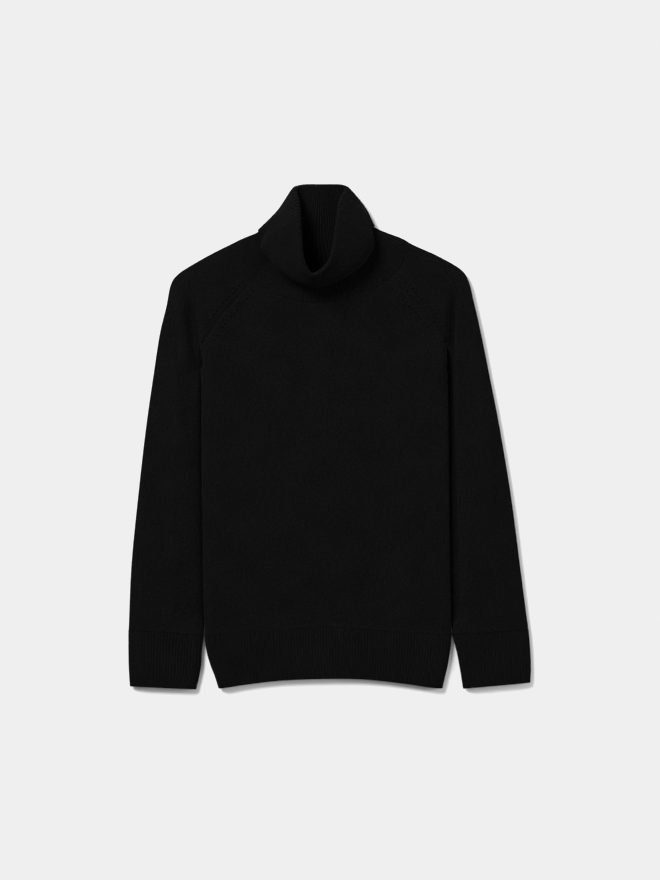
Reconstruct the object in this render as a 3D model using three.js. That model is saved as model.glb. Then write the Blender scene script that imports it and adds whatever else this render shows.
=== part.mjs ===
import * as THREE from "three";

// A long-sleeved turtleneck sweater, laid flat on its back.
// Millimetres: X across, Y towards the collar, Z up. Left and right are those of the laid garment from above.

const WALL = 2.6; // knit thickness
const SEAM_GAP = 0.3; // air between two sewn pieces
const NECK_GAP = 0.6; // the same at the neck seam, measured slantwise
const HALF_GAP = SEAM_GAP / 2;
const FOLD_HEIGHT = 4.4; // mid-line of the side folds above the table
const BODY_TOP = 6.4; // top of the front where it lies on the back
const SIDE_TOP = 9; // top beside the side folds and over the sleeves
const CUFF_TOP = 8.4;
const BODY_ROLL = 11; // plan width of the body's rounded sides
const SLEEVE_ROLL = 26; // plan width of a sleeve's rounded outer side
const INNER_ROLL = 12; // plan width of a sleeve's rounded inner side
const RIB_RISE = 0.5;
const RIM_ROLL = 3; // radius of the collar's fold at its rim
const STAND_SET_IN = 1.5; // the stand curves away from the turnover over it

// Body: flat middle, rising towards the side folds and the yoke.
const MIDDLE_X = -8;
const FLAT_HALF_WIDTH = 95;
const RISE_WIDTH = 70;
const YOKE_Y = 150; // the front starts to rise here towards the neck
const YOKE_RISE = 60; // and is risen this much further up
const YOKE_SHARE = 0.55; // of the sides' rise
const HEM_LIFT = 2; // front hem held off the back at its middle
const HEM_LIFT_X = -5;
const HEM_LIFT_WIDTH = 130;
const HEM_LIFT_LENGTH = 90;
const HEM_Y = -355;
const SLEEVE_FROM = 185; // from the middle to where the sleeves lie beside the body
const SLEEVE_BLEND = 10;
const CUFF_Y = -275;
const CUFF_FALL = 60;
const OUTER_ROLL_SHARE = 0.3; // a sleeve's rolls take no more of its width than this
const INNER_ROLL_SHARE = 0.25;
const LOWER_BOW_SHARE = 0.25; // a sleeve's lower layer bows less than its upper one

// Left and right sides of the body, up to the underarms.
const BODY_SIDES = table("y left right", [
  [-365.7, -160.4, 162.9],
  [-346.3, -166.5, 167.3],
  [-332.3, -172, 170.6],
  [-312.9, -177.6, 173.9],
  [-290.3, -180.9, 176.2],
  [-251.1, -181.8, 175.1],
  [-168.5, -183.2, 173.8],
  [-85.8, -184.5, 172.9],
  [53.4, -186, 171.5],
  [136, -186.5, 169.9],
]);

// Lower edge of the hem, and the line where its rib joins the plain knit.
const HEM_LINE = table("x bottom ribTop", [
  [-180.7, -365.1, -288.8],
  [-160.4, -364.8, -286.8],
  [-115.5, -358.4, -283],
  [-67.6, -353.1, -280.1],
  [-0.9, -350.8, -276.2],
  [52.7, -351.8, -280.1],
  [112.2, -358.4, -283.5],
  [148.4, -363.7, -285.9],
  [176, -365.1, -287.4],
]);

// Raglan seams from underarm to neck, and the neck seam between them.
const RAGLAN_LEFT = table("x y", [
  [-186.5, 136],
  [-182.2, 139.6],
  [-172, 153.4],
  [-157.5, 175.6],
  [-135.1, 199.8],
  [-114, 225.2],
]);

const RAGLAN_RIGHT = table("x y", [
  [90.4, 231],
  [105.6, 214.3],
  [118.8, 201.3],
  [133.6, 185.3],
  [148.4, 167.2],
  [160, 153],
  [166.5, 142.5],
  [169.9, 136],
]);

const NECK_FRONT = table("x y", [
  [-114, 225.2],
  [-98.1, 217.5],
  [-79.8, 208.1],
  [-52, 197.9],
  [-24.1, 194],
  [3.4, 196],
  [31, 203.4],
  [51.3, 210.8],
  [73.7, 220.1],
  [90.4, 231],
]);

const NECK_BACK = table("x y", [
  [-98.1, 263.6],
  [-64.7, 254.9],
  [-11.1, 249.8],
  [45.5, 254.9],
  [78.8, 263.6],
]);

// Sleeve sections from cuff to neck: outer side, front seam side, back seam side, and the bow of the section.
// Rows 0 to 5 run up to the underarm, where both seam sides are the inner fold.
const SLEEVE_LEFT = table("s outerX outerY seamX seamY backX backY bow", [
  [0, -291.4, -280.1, -182.5, -288.1, -182.5, -288.1, 0],
  [1, -287.3, -185.9, -183.6, -178.6, -183.6, -178.6, 0],
  [2, -277.5, -85.4, -185.2, -77.1, -185.2, -77.1, 0],
  [3, -266.4, 11.7, -186.4, 17.1, -186.4, 17.1, 0],
  [4, -254.7, 94, -187, 89.6, -187, 89.6, 0],
  [5, -246, 149.8, -187.4, 134.6, -187.4, 134.6, 0],
  [6, -236.7, 188.6, -178.6, 145.4, -175.8, 151.3, 0],
  [7, -230.3, 220.1, -168.4, 159.2, -164.2, 168.1, 0],
  [8, -218.4, 236.6, -157.5, 175.6, -151.7, 186.2, 0],
  [9, -190.5, 254.2, -143.8, 191.1, -138.3, 205.5, 0.5],
  [10, -166.2, 267.5, -130.7, 204.9, -124.9, 224.9, 2],
  [11, -144.5, 278.3, -120.9, 216.5, -110.6, 245.5, 5],
  [12, -127.7, 286.8, -114, 225.2, -98.1, 263.6, 9],
]);

const SLEEVE_RIGHT = table("s outerX outerY seamX seamY backX backY bow", [
  [0, 288, -279.7, 177.3, -286.7, 177.3, -286.7, 0],
  [1, 276.7, -193.1, 175.4, -185.9, 175.4, -185.9, 0],
  [2, 263, -87.3, 173.9, -77.1, 173.9, -77.1, 0],
  [3, 246.4, 12.8, 172.8, 17.1, 172.8, 17.1, 0],
  [4, 230.6, 94, 171.9, 89.6, 171.9, 89.6, 0],
  [5, 219.5, 149.1, 171, 134.6, 171, 134.6, 0],
  [6, 210, 191.1, 164.6, 146.2, 159, 151.3, 0],
  [7, 201.2, 225.6, 156.5, 157.8, 147.1, 168.1, 0],
  [8, 189, 243.3, 146.2, 169.9, 134.1, 186.2, 0],
  [9, 157.7, 261.6, 133.6, 185.3, 120.3, 205.5, 0.5],
  [10, 132.5, 273, 118.8, 201.3, 106.5, 224.9, 2],
  [11, 118, 279.8, 104.9, 215.2, 91.7, 245.5, 5],
  [12, 107.1, 286.8, 90.4, 231, 78.8, 263.6, 9],
]);

// Cuff sections, from the lower edge up.
const CUFF_LEFT = table("s outerX outerY seamX seamY", [
  [0, -289.2, -361.8, -193.5, -366],
  [1, -290.9, -335.2, -187, -335.2],
  [2, -291.4, -306.2, -185.1, -309.1],
  [3, -291.4, -280.1, -182.5, -288.1],
]);

const CUFF_RIGHT = table("s outerX outerY seamX seamY", [
  [0, 290.4, -356.4, 193.6, -365.1],
  [1, 291.4, -335.2, 189.3, -338.1],
  [2, 290.2, -306.2, 183.8, -309.1],
  [3, 288, -279.7, 177.3, -286.7],
]);

// Collar sections, by fraction of the way round from the middle front through the right:
// foot where the stand passes the free edge, rim where it turns over, bulge and free edge of the turnover.
const COLLAR = table("around footX footY footZ rimX rimY rimZ bulgeX bulgeY bulgeZ edgeX edgeY edgeZ", [
  [0, -24.1, 225.9, 10, -22.7, 233.9, 40, -24.1, 216.8, 26, -24.1, 220.8, 14.5],
  [0.06, -0.2, 233.2, 10, -9.6, 246.2, 39.5, 7.8, 225.5, 26, 4.9, 229.5, 14.5],
  [0.12, 21.5, 247.7, 10, 0.5, 262.2, 37, 33.1, 239.2, 24, 29.5, 242.9, 14],
  [0.19, 40.4, 266.5, 9.3, 7, 283.9, 33, 53.4, 257.5, 21, 49.8, 260.7, 13.5],
  [0.27, 50.5, 284.6, 8.5, 10.7, 311.5, 26, 63.3, 283.9, 17, 60, 286.1, 12.5],
  [0.33, 54.9, 297, 7, 15, 343.4, 18, 45.5, 324.5, 15, 63.6, 301.6, 10.6],
  [0.355, 57.1, 302, 5.9, 19.4, 355, 13, 46.9, 332.5, 6.5, 63.7, 304.2, 5.5],
  [0.38, 49.8, 291.2, 5.3, 14.7, 361.6, 8.4, 38.9, 333.2, 1.4, 52.7, 300.6, 1.4],
  [0.42, 29.5, 288.3, 4.9, 2.7, 364.5, 5.5, 22.3, 334.7, 1.4, 32.4, 298.4, 1.4],
  [0.5, -14, 288.3, 4.9, -14, 364.8, 4.4, -15.4, 334.7, 1.4, -16.9, 297, 1.4],
  [0.58, -66.2, 287.5, 4.9, -35.7, 364.7, 5, -53.9, 333.9, 1.4, -67.6, 297, 1.4],
  [0.62, -88.7, 286.8, 5.3, -45.9, 362.2, 7.5, -68.4, 331.8, 1.4, -90.8, 299.1, 1.4],
  [0.645, -95.9, 296.2, 5.9, -48.4, 356.4, 12.5, -74.5, 327.7, 6.5, -102.7, 298.7, 5.5],
  [0.67, -93.7, 291.2, 7, -45.2, 343.4, 18, -72, 323.1, 15, -102.7, 295.5, 10.6],
  [0.73, -86.5, 280.3, 8.5, -42.3, 311.5, 26, -97.8, 280.3, 17, -94.8, 282.8, 12.5],
  [0.81, -75.6, 265.8, 9.3, -41, 281, 33, -87.9, 260.7, 21, -84.3, 263.9, 13.5],
  [0.88, -59.7, 244.8, 10, -35.7, 260.7, 37, -70.5, 240, 24, -67.1, 243.6, 14],
  [0.94, -43, 232.4, 10, -29.9, 246.2, 39.5, -49.5, 224.8, 26, -47.3, 229.1, 14.5],
]);

const UNDERARM_ROW = 5;
const NECK_ROW = 12;

// Soft folds at the armpits: from and to, half width, depth.
const FOLDS = table("x0 y0 x1 y1 halfWidth depth", [
  [-210, 202, -191, 141, 9, 1.2],
  [183, 205, 171.5, 150, 8, 1.3],
  [-222, 60, -200, 96, 12, 0.7],
  [196, 70, 182, 112, 11, 0.7],
]);
const FOLD_FADE = 0.4; // share of a fold's length over which it fades at each end
const FOLD_OVERRUN = 0.3; // how far it has faded in at the end itself

// A table as an object with one array for each named column.
function table(columns, rows) {
  const made = {};
  columns.split(" ").forEach((name, k) => {
    made[name] = rows.map((row) => row[k]);
  });
  return made;
}

// Smooth value at t of a table's column, over ascending or descending keys.
function at(t, keys, values) {
  const last = keys.length - 1;
  const sign = keys[last] > keys[0] ? 1 : -1;
  let i = 0;
  while (i < last - 1 && sign * (t - keys[i + 1]) > 0) {
    i += 1;
  }
  const slope = (k) => {
    const a = Math.max(k - 1, 0);
    const b = Math.min(k + 1, last);
    return (values[b] - values[a]) / (keys[b] - keys[a]);
  };
  const span = keys[i + 1] - keys[i];
  const w = Math.min(Math.max((t - keys[i]) / span, 0), 1);
  const w2 = w * w;
  const w3 = w2 * w;
  return (
    (2 * w3 - 3 * w2 + 1) * values[i] +
    (w3 - 2 * w2 + w) * span * slope(i) +
    (3 * w2 - 2 * w3) * values[i + 1] +
    (w3 - w2) * span * slope(i + 1)
  );
}

// The same over a closed table whose key is the fraction of a turn.
function around(u, keys, values) {
  const n = keys.length;
  const k = [];
  const v = [];
  for (let j = -2; j < n + 3; j++) {
    const turn = Math.floor(j / n);
    k.push(keys[j - turn * n] + turn);
    v.push(values[j - turn * n]);
  }
  return at(u - Math.floor(u), k, v);
}

function lerp(a, b, t) {
  return a + (b - a) * t;
}

function ease(t) {
  const w = Math.min(Math.max(t, 0), 1);
  return w * w * (3 - 2 * w);
}

// Rise of a rounded side, 0 at the fold and 1 past its roll.
function roll(distance, width) {
  const c = Math.max(1 - distance / width, 0);
  return Math.sqrt(Math.max(1 - c * c, 0));
}

// Fading of a fold at one of its ends, by the share of its length from there.
function foldEnd(share) {
  return ease(share / FOLD_FADE + FOLD_OVERRUN);
}

// Height of the laid garment's top face, before its sides round down.
function topHeight(x, y) {
  const fromMiddle = Math.abs(x - MIDDLE_X);
  const side = ease((fromMiddle - FLAT_HALF_WIDTH) / RISE_WIDTH);
  const liftX = (x - HEM_LIFT_X) / HEM_LIFT_WIDTH;
  const liftY = (y - HEM_Y) / HEM_LIFT_LENGTH;
  const lift = HEM_LIFT * Math.exp(-(liftX ** 2) - liftY ** 2);
  const yoke = ease((y - YOKE_Y) / YOKE_RISE);
  let h = lerp(BODY_TOP, SIDE_TOP, Math.max(side, YOKE_SHARE * yoke)) + lift * (1 - side);
  const sleeve = ease((fromMiddle - SLEEVE_FROM) / SLEEVE_BLEND);
  const cuff = ease((CUFF_Y + CUFF_FALL - y) / CUFF_FALL);
  h = lerp(h, lerp(h, CUFF_TOP, cuff), sleeve);
  for (let k = 0; k < FOLDS.x0.length; k++) {
    const dx = FOLDS.x1[k] - FOLDS.x0[k];
    const dy = FOLDS.y1[k] - FOLDS.y0[k];
    const length = Math.hypot(dx, dy);
    const along = ((x - FOLDS.x0[k]) * dx + (y - FOLDS.y0[k]) * dy) / (length * length);
    const off = ((x - FOLDS.x0[k]) * dy - (y - FOLDS.y0[k]) * dx) / length;
    const fade = foldEnd(along) * foldEnd(1 - along);
    h -= FOLDS.depth[k] * fade * Math.exp(-((off / FOLDS.halfWidth[k]) ** 2));
  }
  return h;
}

// Outer and inner point of a wall at (x, y) of the upper or lower layer. Each fold pulls the wall round
// to its mid-line: rise of the fold, and the direction and share by which its inside is set in.
function wallPoint(x, y, upper, folds) {
  let rise = 1;
  let inX = x;
  let inY = y;
  for (const fold of folds) {
    rise *= roll(fold.distance, fold.width);
    const share = Math.max(1 - fold.distance / fold.width, 0) * WALL;
    inX += share * fold.dirX;
    inY += share * fold.dirY;
  }
  const h = topHeight(x, y);
  const start = upper ? FOLD_HEIGHT + HALF_GAP : FOLD_HEIGHT - HALF_GAP;
  const outer = upper ? h : 0;
  const inner = upper ? h - WALL : WALL;
  return {
    out: new THREE.Vector3(x, y, lerp(start, outer, rise)),
    inn: new THREE.Vector3(inX, inY, lerp(start, inner, rise)),
  };
}

// Places of a row's points along it, from 0 to 1.
function placesOf(row) {
  return row.places ?? row.map((_, j) => j / (row.length - 1));
}

// Strip of triangles between two rows, each with its own number of points.
function strip(first, second, index, flip) {
  let i = 0;
  let j = 0;
  while (i < first.ids.length - 1 || j < second.ids.length - 1) {
    const lastFirst = i === first.ids.length - 1;
    const lastSecond = j === second.ids.length - 1;
    const firstIsNext = first.places[i + 1] <= second.places[j + 1] + 1e-9;
    const takeFirst = lastSecond || (!lastFirst && firstIsNext);
    const far = takeFirst ? first.ids[i + 1] : second.ids[j + 1];
    const tri = [first.ids[i], far, second.ids[j]];
    if (flip) tri.reverse();
    index.push(...tri);
    if (takeFirst) i += 1;
    else j += 1;
  }
}

// Adds a face's rows of points and the triangles between them, and returns the rows as lists of vertices.
function addFace(rows, positions, index, flip) {
  const made = rows.map((row) => {
    const base = positions.length / 3;
    row.forEach((p) => positions.push(p.x, p.y, p.z));
    return { ids: row.map((_, j) => base + j), places: placesOf(row) };
  });
  for (let i = 0; i + 1 < made.length; i++) {
    strip(made[i], made[i + 1], index, flip);
  }
  return made;
}

// Closed wall between an outer and an inner face, given as rows of points from the first edge to the last.
// A ring's rows end on their first point again, and the wall closes on itself there.
function wall(name, outer, inner, ring = false) {
  const positions = [];
  const index = [];
  const a = addFace(outer, positions, index, false);
  const b = addFace(inner, positions, index, true);
  const side = (rows, pick) => ({
    ids: rows.map((row) => row.ids[pick(row.ids)]),
    places: rows.map((_, i) => i / (rows.length - 1)),
  });
  const first = () => 0;
  const last = (ids) => ids.length - 1;
  strip(a[0], b[0], index, true);
  strip(a[a.length - 1], b[b.length - 1], index, false);
  if (!ring) {
    strip(side(a, first), side(b, first), index, false);
    strip(side(a, last), side(b, last), index, true);
  }
  const geometry = new THREE.BufferGeometry();
  geometry.setAttribute("position", new THREE.Float32BufferAttribute(positions, 3));
  geometry.setIndex(index);
  geometry.computeVertexNormals();
  const knit = new THREE.MeshStandardMaterial({ color: 0x17171a, roughness: 0.95, metalness: 0 });
  const mesh = new THREE.Mesh(geometry, knit);
  mesh.name = name;
  return mesh;
}

const UNDERARM_Y = BODY_SIDES.y[BODY_SIDES.y.length - 1];
const LEFT_X = BODY_SIDES.left[BODY_SIDES.left.length - 1];
const RIGHT_X = BODY_SIDES.right[BODY_SIDES.right.length - 1];
const ROLL_STEPS = [0, 0.134, 0.5];
const FITTING_PASSES = 3; // passes that settle a column's X and Y on each other

function sideX(side, y) {
  return at(Math.min(y, UNDERARM_Y), BODY_SIDES.y, BODY_SIDES[side]);
}

// Plan X at height y of the column that stands at columnX by the underarms.
function columnAt(columnX, y) {
  const left = sideX("left", y);
  const right = sideX("right", y);
  return left + ((columnX - LEFT_X) * (right - left)) / (RIGHT_X - LEFT_X);
}

function bodyFolds(x, y) {
  return ["left", "right"].map((side) => {
    const edge = sideX(side, y);
    const above = Math.max(y - UNDERARM_Y, 0);
    const inward = side === "left" ? 1 : -1;
    const across = Math.max((x - edge) * inward, 0);
    const distance = Math.hypot(across, above);
    return {
      distance,
      width: BODY_ROLL,
      dirX: distance > 0.01 ? (across / distance) * inward : inward,
      dirY: distance > 0.01 ? above / distance : 0,
    };
  });
}

// Columns of a body panel: the rolls' steps at both sides and even steps between the given corners.
function bodyColumns(corners, counts) {
  const columns = ROLL_STEPS.map((k) => LEFT_X + k * BODY_ROLL);
  const stops = [LEFT_X + BODY_ROLL, ...corners, RIGHT_X - BODY_ROLL];
  counts.forEach((n, k) => {
    for (let j = 0; j < n; j++) {
      columns.push(lerp(stops[k], stops[k + 1], j / n));
    }
  });
  columns.push(RIGHT_X - BODY_ROLL);
  [...ROLL_STEPS].reverse().forEach((k) => columns.push(RIGHT_X - k * BODY_ROLL));
  return columns;
}

// A body panel from its lower line to its upper line, both given by plan X.
function bodyPanel(columns, rows, lower, upper, isUpper, rise = () => 0) {
  const outer = [];
  const inner = [];
  for (let i = 0; i <= rows; i++) {
    const out = [];
    const inn = [];
    columns.forEach((columnX, j) => {
      let x = columnX;
      let y = 0;
      for (let pass = 0; pass < FITTING_PASSES; pass++) {
        y = lerp(lower(x), upper(x), i / rows);
        x = columnAt(columnX, y);
      }
      const p = wallPoint(x, y, isUpper, bodyFolds(x, y));
      p.out.z += rise(j) * (isUpper ? 1 : 0);
      out.push(p.out);
      inn.push(p.inn);
    });
    outer.push(out);
    inner.push(inn);
  }
  return { outer, inner };
}

// Distance kept from a seam along Y, for half a gap across it.
function seamOff(line, x) {
  const slope = line(x + 0.5) - line(x - 0.5);
  return HALF_GAP * Math.hypot(1, slope);
}

const CORNER_LEFT = NECK_FRONT.x[0];
const CORNER_RIGHT = NECK_FRONT.x[NECK_FRONT.x.length - 1];
const BACK_LEFT = NECK_BACK.x[0];
const BACK_RIGHT = NECK_BACK.x[NECK_BACK.x.length - 1];

function frontTop(x) {
  if (x < CORNER_LEFT) return at(x, RAGLAN_LEFT.x, RAGLAN_LEFT.y);
  if (x > CORNER_RIGHT) return at(x, RAGLAN_RIGHT.x, RAGLAN_RIGHT.y);
  return at(x, NECK_FRONT.x, NECK_FRONT.y);
}

// The back's raglan follows the back seam side of the sleeves above the underarm.
function backRaglan(x, sleeve, sign) {
  const xs = sleeve.backX.slice(UNDERARM_ROW).map((v) => v * sign);
  const ys = sleeve.backY.slice(UNDERARM_ROW);
  return at(x * sign, xs, ys);
}

function backTop(x) {
  if (x < BACK_LEFT) return backRaglan(x, SLEEVE_LEFT, 1);
  if (x > BACK_RIGHT) return backRaglan(x, SLEEVE_RIGHT, -1);
  return at(x, NECK_BACK.x, NECK_BACK.y);
}

const ribTop = (x) => at(x, HEM_LINE.x, HEM_LINE.ribTop);
const hemBottom = (x) => at(x, HEM_LINE.x, HEM_LINE.bottom);

const NECK_STEPS = 16;
const frontColumns = bodyColumns([CORNER_LEFT, CORNER_RIGHT], [5, NECK_STEPS, 5]);
const FRONT_ROWS = 20;
const front = bodyPanel(
  frontColumns,
  FRONT_ROWS,
  (x) => ribTop(x) + HALF_GAP,
  (x) => frontTop(x) - seamOff(frontTop, x),
  true,
);

const backColumns = bodyColumns([BACK_LEFT, BACK_RIGHT], [6, 8, 6]);
const BACK_ROWS = 14;
const back = bodyPanel(
  backColumns,
  BACK_ROWS,
  (x) => ribTop(x) + HALF_GAP,
  (x) => backTop(x) - seamOff(backTop, x),
  false,
);

// Hem rib: every second column is raised.
const HEM_RIBS = 80;
const hemRibColumns = bodyColumns([], [HEM_RIBS * 2]);
const hemPlainColumns = bodyColumns([], [20]);
const HEM_ROWS = 3;
const hemUpper = (x) => ribTop(x) - HALF_GAP;
const ribRise = (j) => {
  const inside = j - ROLL_STEPS.length;
  return inside > 0 && inside < HEM_RIBS * 2 && inside % 2 === 1 ? RIB_RISE : 0;
};
const hemFront = bodyPanel(hemRibColumns, HEM_ROWS, hemBottom, hemUpper, true, ribRise);
const hemFrontInside = bodyPanel(hemPlainColumns, HEM_ROWS, hemBottom, hemUpper, true);
const hemBack = bodyPanel(hemPlainColumns, HEM_ROWS, hemBottom, hemUpper, false);

// One sleeve or cuff: a panel wrapped from its back seam side, round the outer side, to its front seam side.
// Columns are fractions of the section: roll steps at both sides and even steps between.
function sleeveColumns(upperSteps, lowerSteps) {
  const columns = [];
  const half = (steps, upper) => {
    const list = [];
    ROLL_STEPS.forEach((k) => list.push({ upper, outerRoll: k }));
    for (let j = 0; j <= steps; j++) {
      list.push({ upper, between: j / steps });
    }
    [...ROLL_STEPS].reverse().forEach((k) => list.push({ upper, innerRoll: k }));
    return list;
  };
  half(lowerSteps, false)
    .reverse()
    .forEach((c) => columns.push(c));
  half(upperSteps, true)
    .slice(1)
    .forEach((c) => columns.push(c));
  return columns;
}

function sleevePoint(sections, s, column, seamGap) {
  const get = (name) => at(s, sections.s, sections[name]);
  const outer = new THREE.Vector2(get("outerX"), get("outerY"));
  const back = !column.upper && sections.backX;
  const seam = new THREE.Vector2(get(back ? "backX" : "seamX"), get(back ? "backY" : "seamY"));
  if (sections.backX && s > UNDERARM_ROW) seam.y = back ? backTop(seam.x) : frontTop(seam.x);
  const across = seam.clone().sub(outer);
  const width = across.length() - seamGap;
  across.normalize();
  const outerRoll = Math.min(SLEEVE_ROLL, OUTER_ROLL_SHARE * width);
  const innerRoll = Math.min(INNER_ROLL, INNER_ROLL_SHARE * width);
  let distance = 0;
  if (column.outerRoll !== undefined) distance = column.outerRoll * outerRoll;
  else if (column.innerRoll !== undefined) distance = width - column.innerRoll * innerRoll;
  else distance = lerp(outerRoll, width - innerRoll, column.between);
  const bowShare = Math.sin((Math.PI * distance) / width) * (column.upper ? 1 : LOWER_BOW_SHARE);
  const bow = sections.bow ? get("bow") * bowShare : 0;
  const turn = across.x > 0 ? 1 : -1;
  const x = outer.x + across.x * distance + across.y * bow * turn;
  const y = outer.y + across.y * distance - across.x * bow * turn;
  const folds = [{ distance, width: outerRoll, dirX: across.x, dirY: across.y }];
  const underarm = sections.backX ? UNDERARM_ROW : Infinity;
  let above = 0;
  if (s > underarm) {
    above = Math.hypot(
      seam.x - at(underarm, sections.s, sections.seamX),
      seam.y - at(underarm, sections.s, sections.seamY),
    );
  }
  folds.push({
    distance: Math.hypot(width - distance, above),
    width: above > 0 ? BODY_ROLL : lerp(innerRoll, BODY_ROLL, Math.max(0, s - underarm + 1)),
    dirX: -across.x,
    dirY: -across.y,
  });
  return wallPoint(x, y, column.upper, folds);
}

function sleevePanel(sections, rows, columns, low, high, rise = () => 0) {
  const outer = [];
  const inner = [];
  for (let i = 0; i <= rows; i++) {
    const s = lerp(low, high, i / rows);
    const out = [];
    const inn = [];
    columns.forEach((column, j) => {
      const gap = s > UNDERARM_ROW ? HALF_GAP : 0;
      const p = sleevePoint(sections, s, column, sections.backX ? gap : 0);
      p.out.z += rise(j);
      out.push(p.out);
      inn.push(p.inn);
    });
    outer.push(out);
    inner.push(inn);
  }
  return { outer, inner };
}

const SLEEVE_ROWS = 24;
const plainSleeve = sleeveColumns(5, 2);
const GAP_IN_ROWS = 0.0035; // the seam gap above the cuffs, as a share of a sleeve section
const sleeveLeft = sleevePanel(SLEEVE_LEFT, SLEEVE_ROWS, plainSleeve, GAP_IN_ROWS, NECK_ROW);
const sleeveRight = sleevePanel(SLEEVE_RIGHT, SLEEVE_ROWS, plainSleeve, GAP_IN_ROWS, NECK_ROW);

const CUFF_RIBS = 18;
const CUFF_ROWS = 3;
const CUFF_LAST = 2.988; // just short of the last section, for the seam gap
const cuffRibbed = sleeveColumns(CUFF_RIBS * 2, 2);
const cuffFirst = cuffRibbed.findIndex((c) => c.upper && c.between === 0);
const cuffRise = (j) => {
  const inside = j - cuffFirst;
  return inside > 0 && inside < CUFF_RIBS * 2 && inside % 2 === 1 ? RIB_RISE : 0;
};
const cuffParts = (sections) => ({
  outer: sleevePanel(sections, CUFF_ROWS, cuffRibbed, 0, CUFF_LAST, cuffRise).outer,
  inner: sleevePanel(sections, CUFF_ROWS, plainSleeve, 0, CUFF_LAST).inner,
});
const cuffLeft = cuffParts(CUFF_LEFT);
const cuffRight = cuffParts(CUFF_RIGHT);

// The neck seam as a ring, from the middle front through the right sleeve, back panel and left sleeve.
function neckRing() {
  const ring = [];
  const add = (panel, row, first, last) => {
    const step = last >= first ? 1 : -1;
    for (let j = first; j !== last + step; j += step) {
      ring.push({ out: panel.outer[row][j], inn: panel.inner[row][j] });
    }
  };
  const frontFirst = frontColumns.indexOf(CORNER_LEFT);
  const frontLast = frontColumns.indexOf(CORNER_RIGHT);
  const backFirst = backColumns.indexOf(BACK_LEFT);
  const backLast = backColumns.indexOf(BACK_RIGHT);
  const middle = frontFirst + NECK_STEPS / 2 - 1;
  const lastColumn = plainSleeve.length - 1;
  add(front, FRONT_ROWS, middle, frontLast - 1);
  add(sleeveRight, SLEEVE_ROWS, lastColumn - 1, 1);
  add(back, BACK_ROWS, backLast - 1, backFirst + 1);
  add(sleeveLeft, SLEEVE_ROWS, 1, lastColumn - 1);
  add(front, FRONT_ROWS, frontFirst + 1, middle);
  return ring;
}

const foldColumn = plainSleeve.findIndex((c) => c.outerRoll === 0);
const ring = neckRing();
const ringLength = [0];
for (let k = 1; k < ring.length; k++) {
  ringLength.push(ringLength[k - 1] + ring[k].out.distanceTo(ring[k - 1].out));
}
// Fractions of a turn at which the collar's side folds lie, and the ring's places of the folds.
const FOLD_RIGHT = 0.355;
const FOLD_LEFT = 0.645;
const foldRight = ring.findIndex((p) => p.out === sleeveRight.outer[SLEEVE_ROWS][foldColumn]);
const foldLeft = ring.findIndex((p) => p.out === sleeveLeft.outer[SLEEVE_ROWS][foldColumn]);
const shareRight = ringLength[foldRight] / ringLength[ring.length - 1];
const shareLeft = ringLength[foldLeft] / ringLength[ring.length - 1];
const RING_SHARE = table("around share", [
  [0, 0],
  [FOLD_RIGHT / 2, shareRight / 2],
  [FOLD_RIGHT, shareRight],
  [0.5, (shareRight + shareLeft) / 2],
  [FOLD_LEFT, shareLeft],
  [(1 + FOLD_LEFT) / 2, (1 + shareLeft) / 2],
  [1, 1],
]);

function ringAt(u) {
  const turn = u - Math.floor(u);
  const length = at(turn, RING_SHARE.around, RING_SHARE.share) * ringLength[ring.length - 1];
  let k = 0;
  while (k < ring.length - 2 && ringLength[k + 1] < length) {
    k += 1;
  }
  const w = Math.min(Math.max((length - ringLength[k]) / (ringLength[k + 1] - ringLength[k]), 0), 1);
  return {
    out: ring[k].out.clone().lerp(ring[k + 1].out, w),
    inn: ring[k].inn.clone().lerp(ring[k + 1].inn, w),
  };
}

function collarSpot(u, name) {
  const get = (axis) => around(u, COLLAR.around, COLLAR[name + axis]);
  return new THREE.Vector3(get("X"), get("Y"), Math.max(get("Z"), WALL / 2));
}

// Seam points of the collar's first row, set off by the seam gap towards the collar.
function collarStart(u) {
  const p = ringAt(u);
  const towards = collarSpot(u, "foot").sub(p.out);
  towards.z = 0;
  towards.normalize().multiplyScalar(NECK_GAP);
  return { out: p.out.clone().add(towards), inn: p.inn.clone().add(towards) };
}

const STEP_AROUND = 0.002;
const STEP_ALONG = 0.04;

// Middle line of the knit at u, from the neck seam over the rim to the free edge.
const SPOTS = 10;
const RIM_SPOT = 5;
const RIM_ANGLES = [-Math.PI / 2, -Math.PI / 4, Math.PI / 4, Math.PI / 2];
function collarLine(u) {
  const start = collarStart(u);
  const seam = start.out.clone().lerp(start.inn, 0.5);
  const foot = collarSpot(u, "foot");
  const rim = collarSpot(u, "rim");
  const bulge = collarSpot(u, "bulge");
  const edge = collarSpot(u, "edge");
  const run = collarSpot(u + STEP_AROUND, "rim").sub(collarSpot(u - STEP_AROUND, "rim")).normalize();
  const along = rim.clone().sub(foot.clone().lerp(edge, 0.5));
  along.addScaledVector(run, -along.dot(run)).normalize();
  const across = run.clone().cross(along);
  const centre = rim.clone().addScaledVector(along, -RIM_ROLL);
  const [before, rising, falling, after] = RIM_ANGLES.map((angle) => {
    const p = centre.clone().addScaledVector(along, RIM_ROLL * Math.cos(angle));
    p.addScaledVector(across, RIM_ROLL * Math.sin(angle));
    p.z = Math.max(p.z, WALL / 2);
    return p;
  });
  const middle = foot.clone().lerp(before, 0.5).addScaledVector(across, -STAND_SET_IN);
  const line = [seam, foot, middle, before, rising, rim, falling, after, bulge, edge];
  return new THREE.CatmullRomCurve3(line, false, "centripetal");
}

function collarPoint(u, spot) {
  const p = collarLine(u).getPoint(spot / (SPOTS - 1));
  p.z = Math.max(p.z, WALL / 2);
  return p;
}

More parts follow.
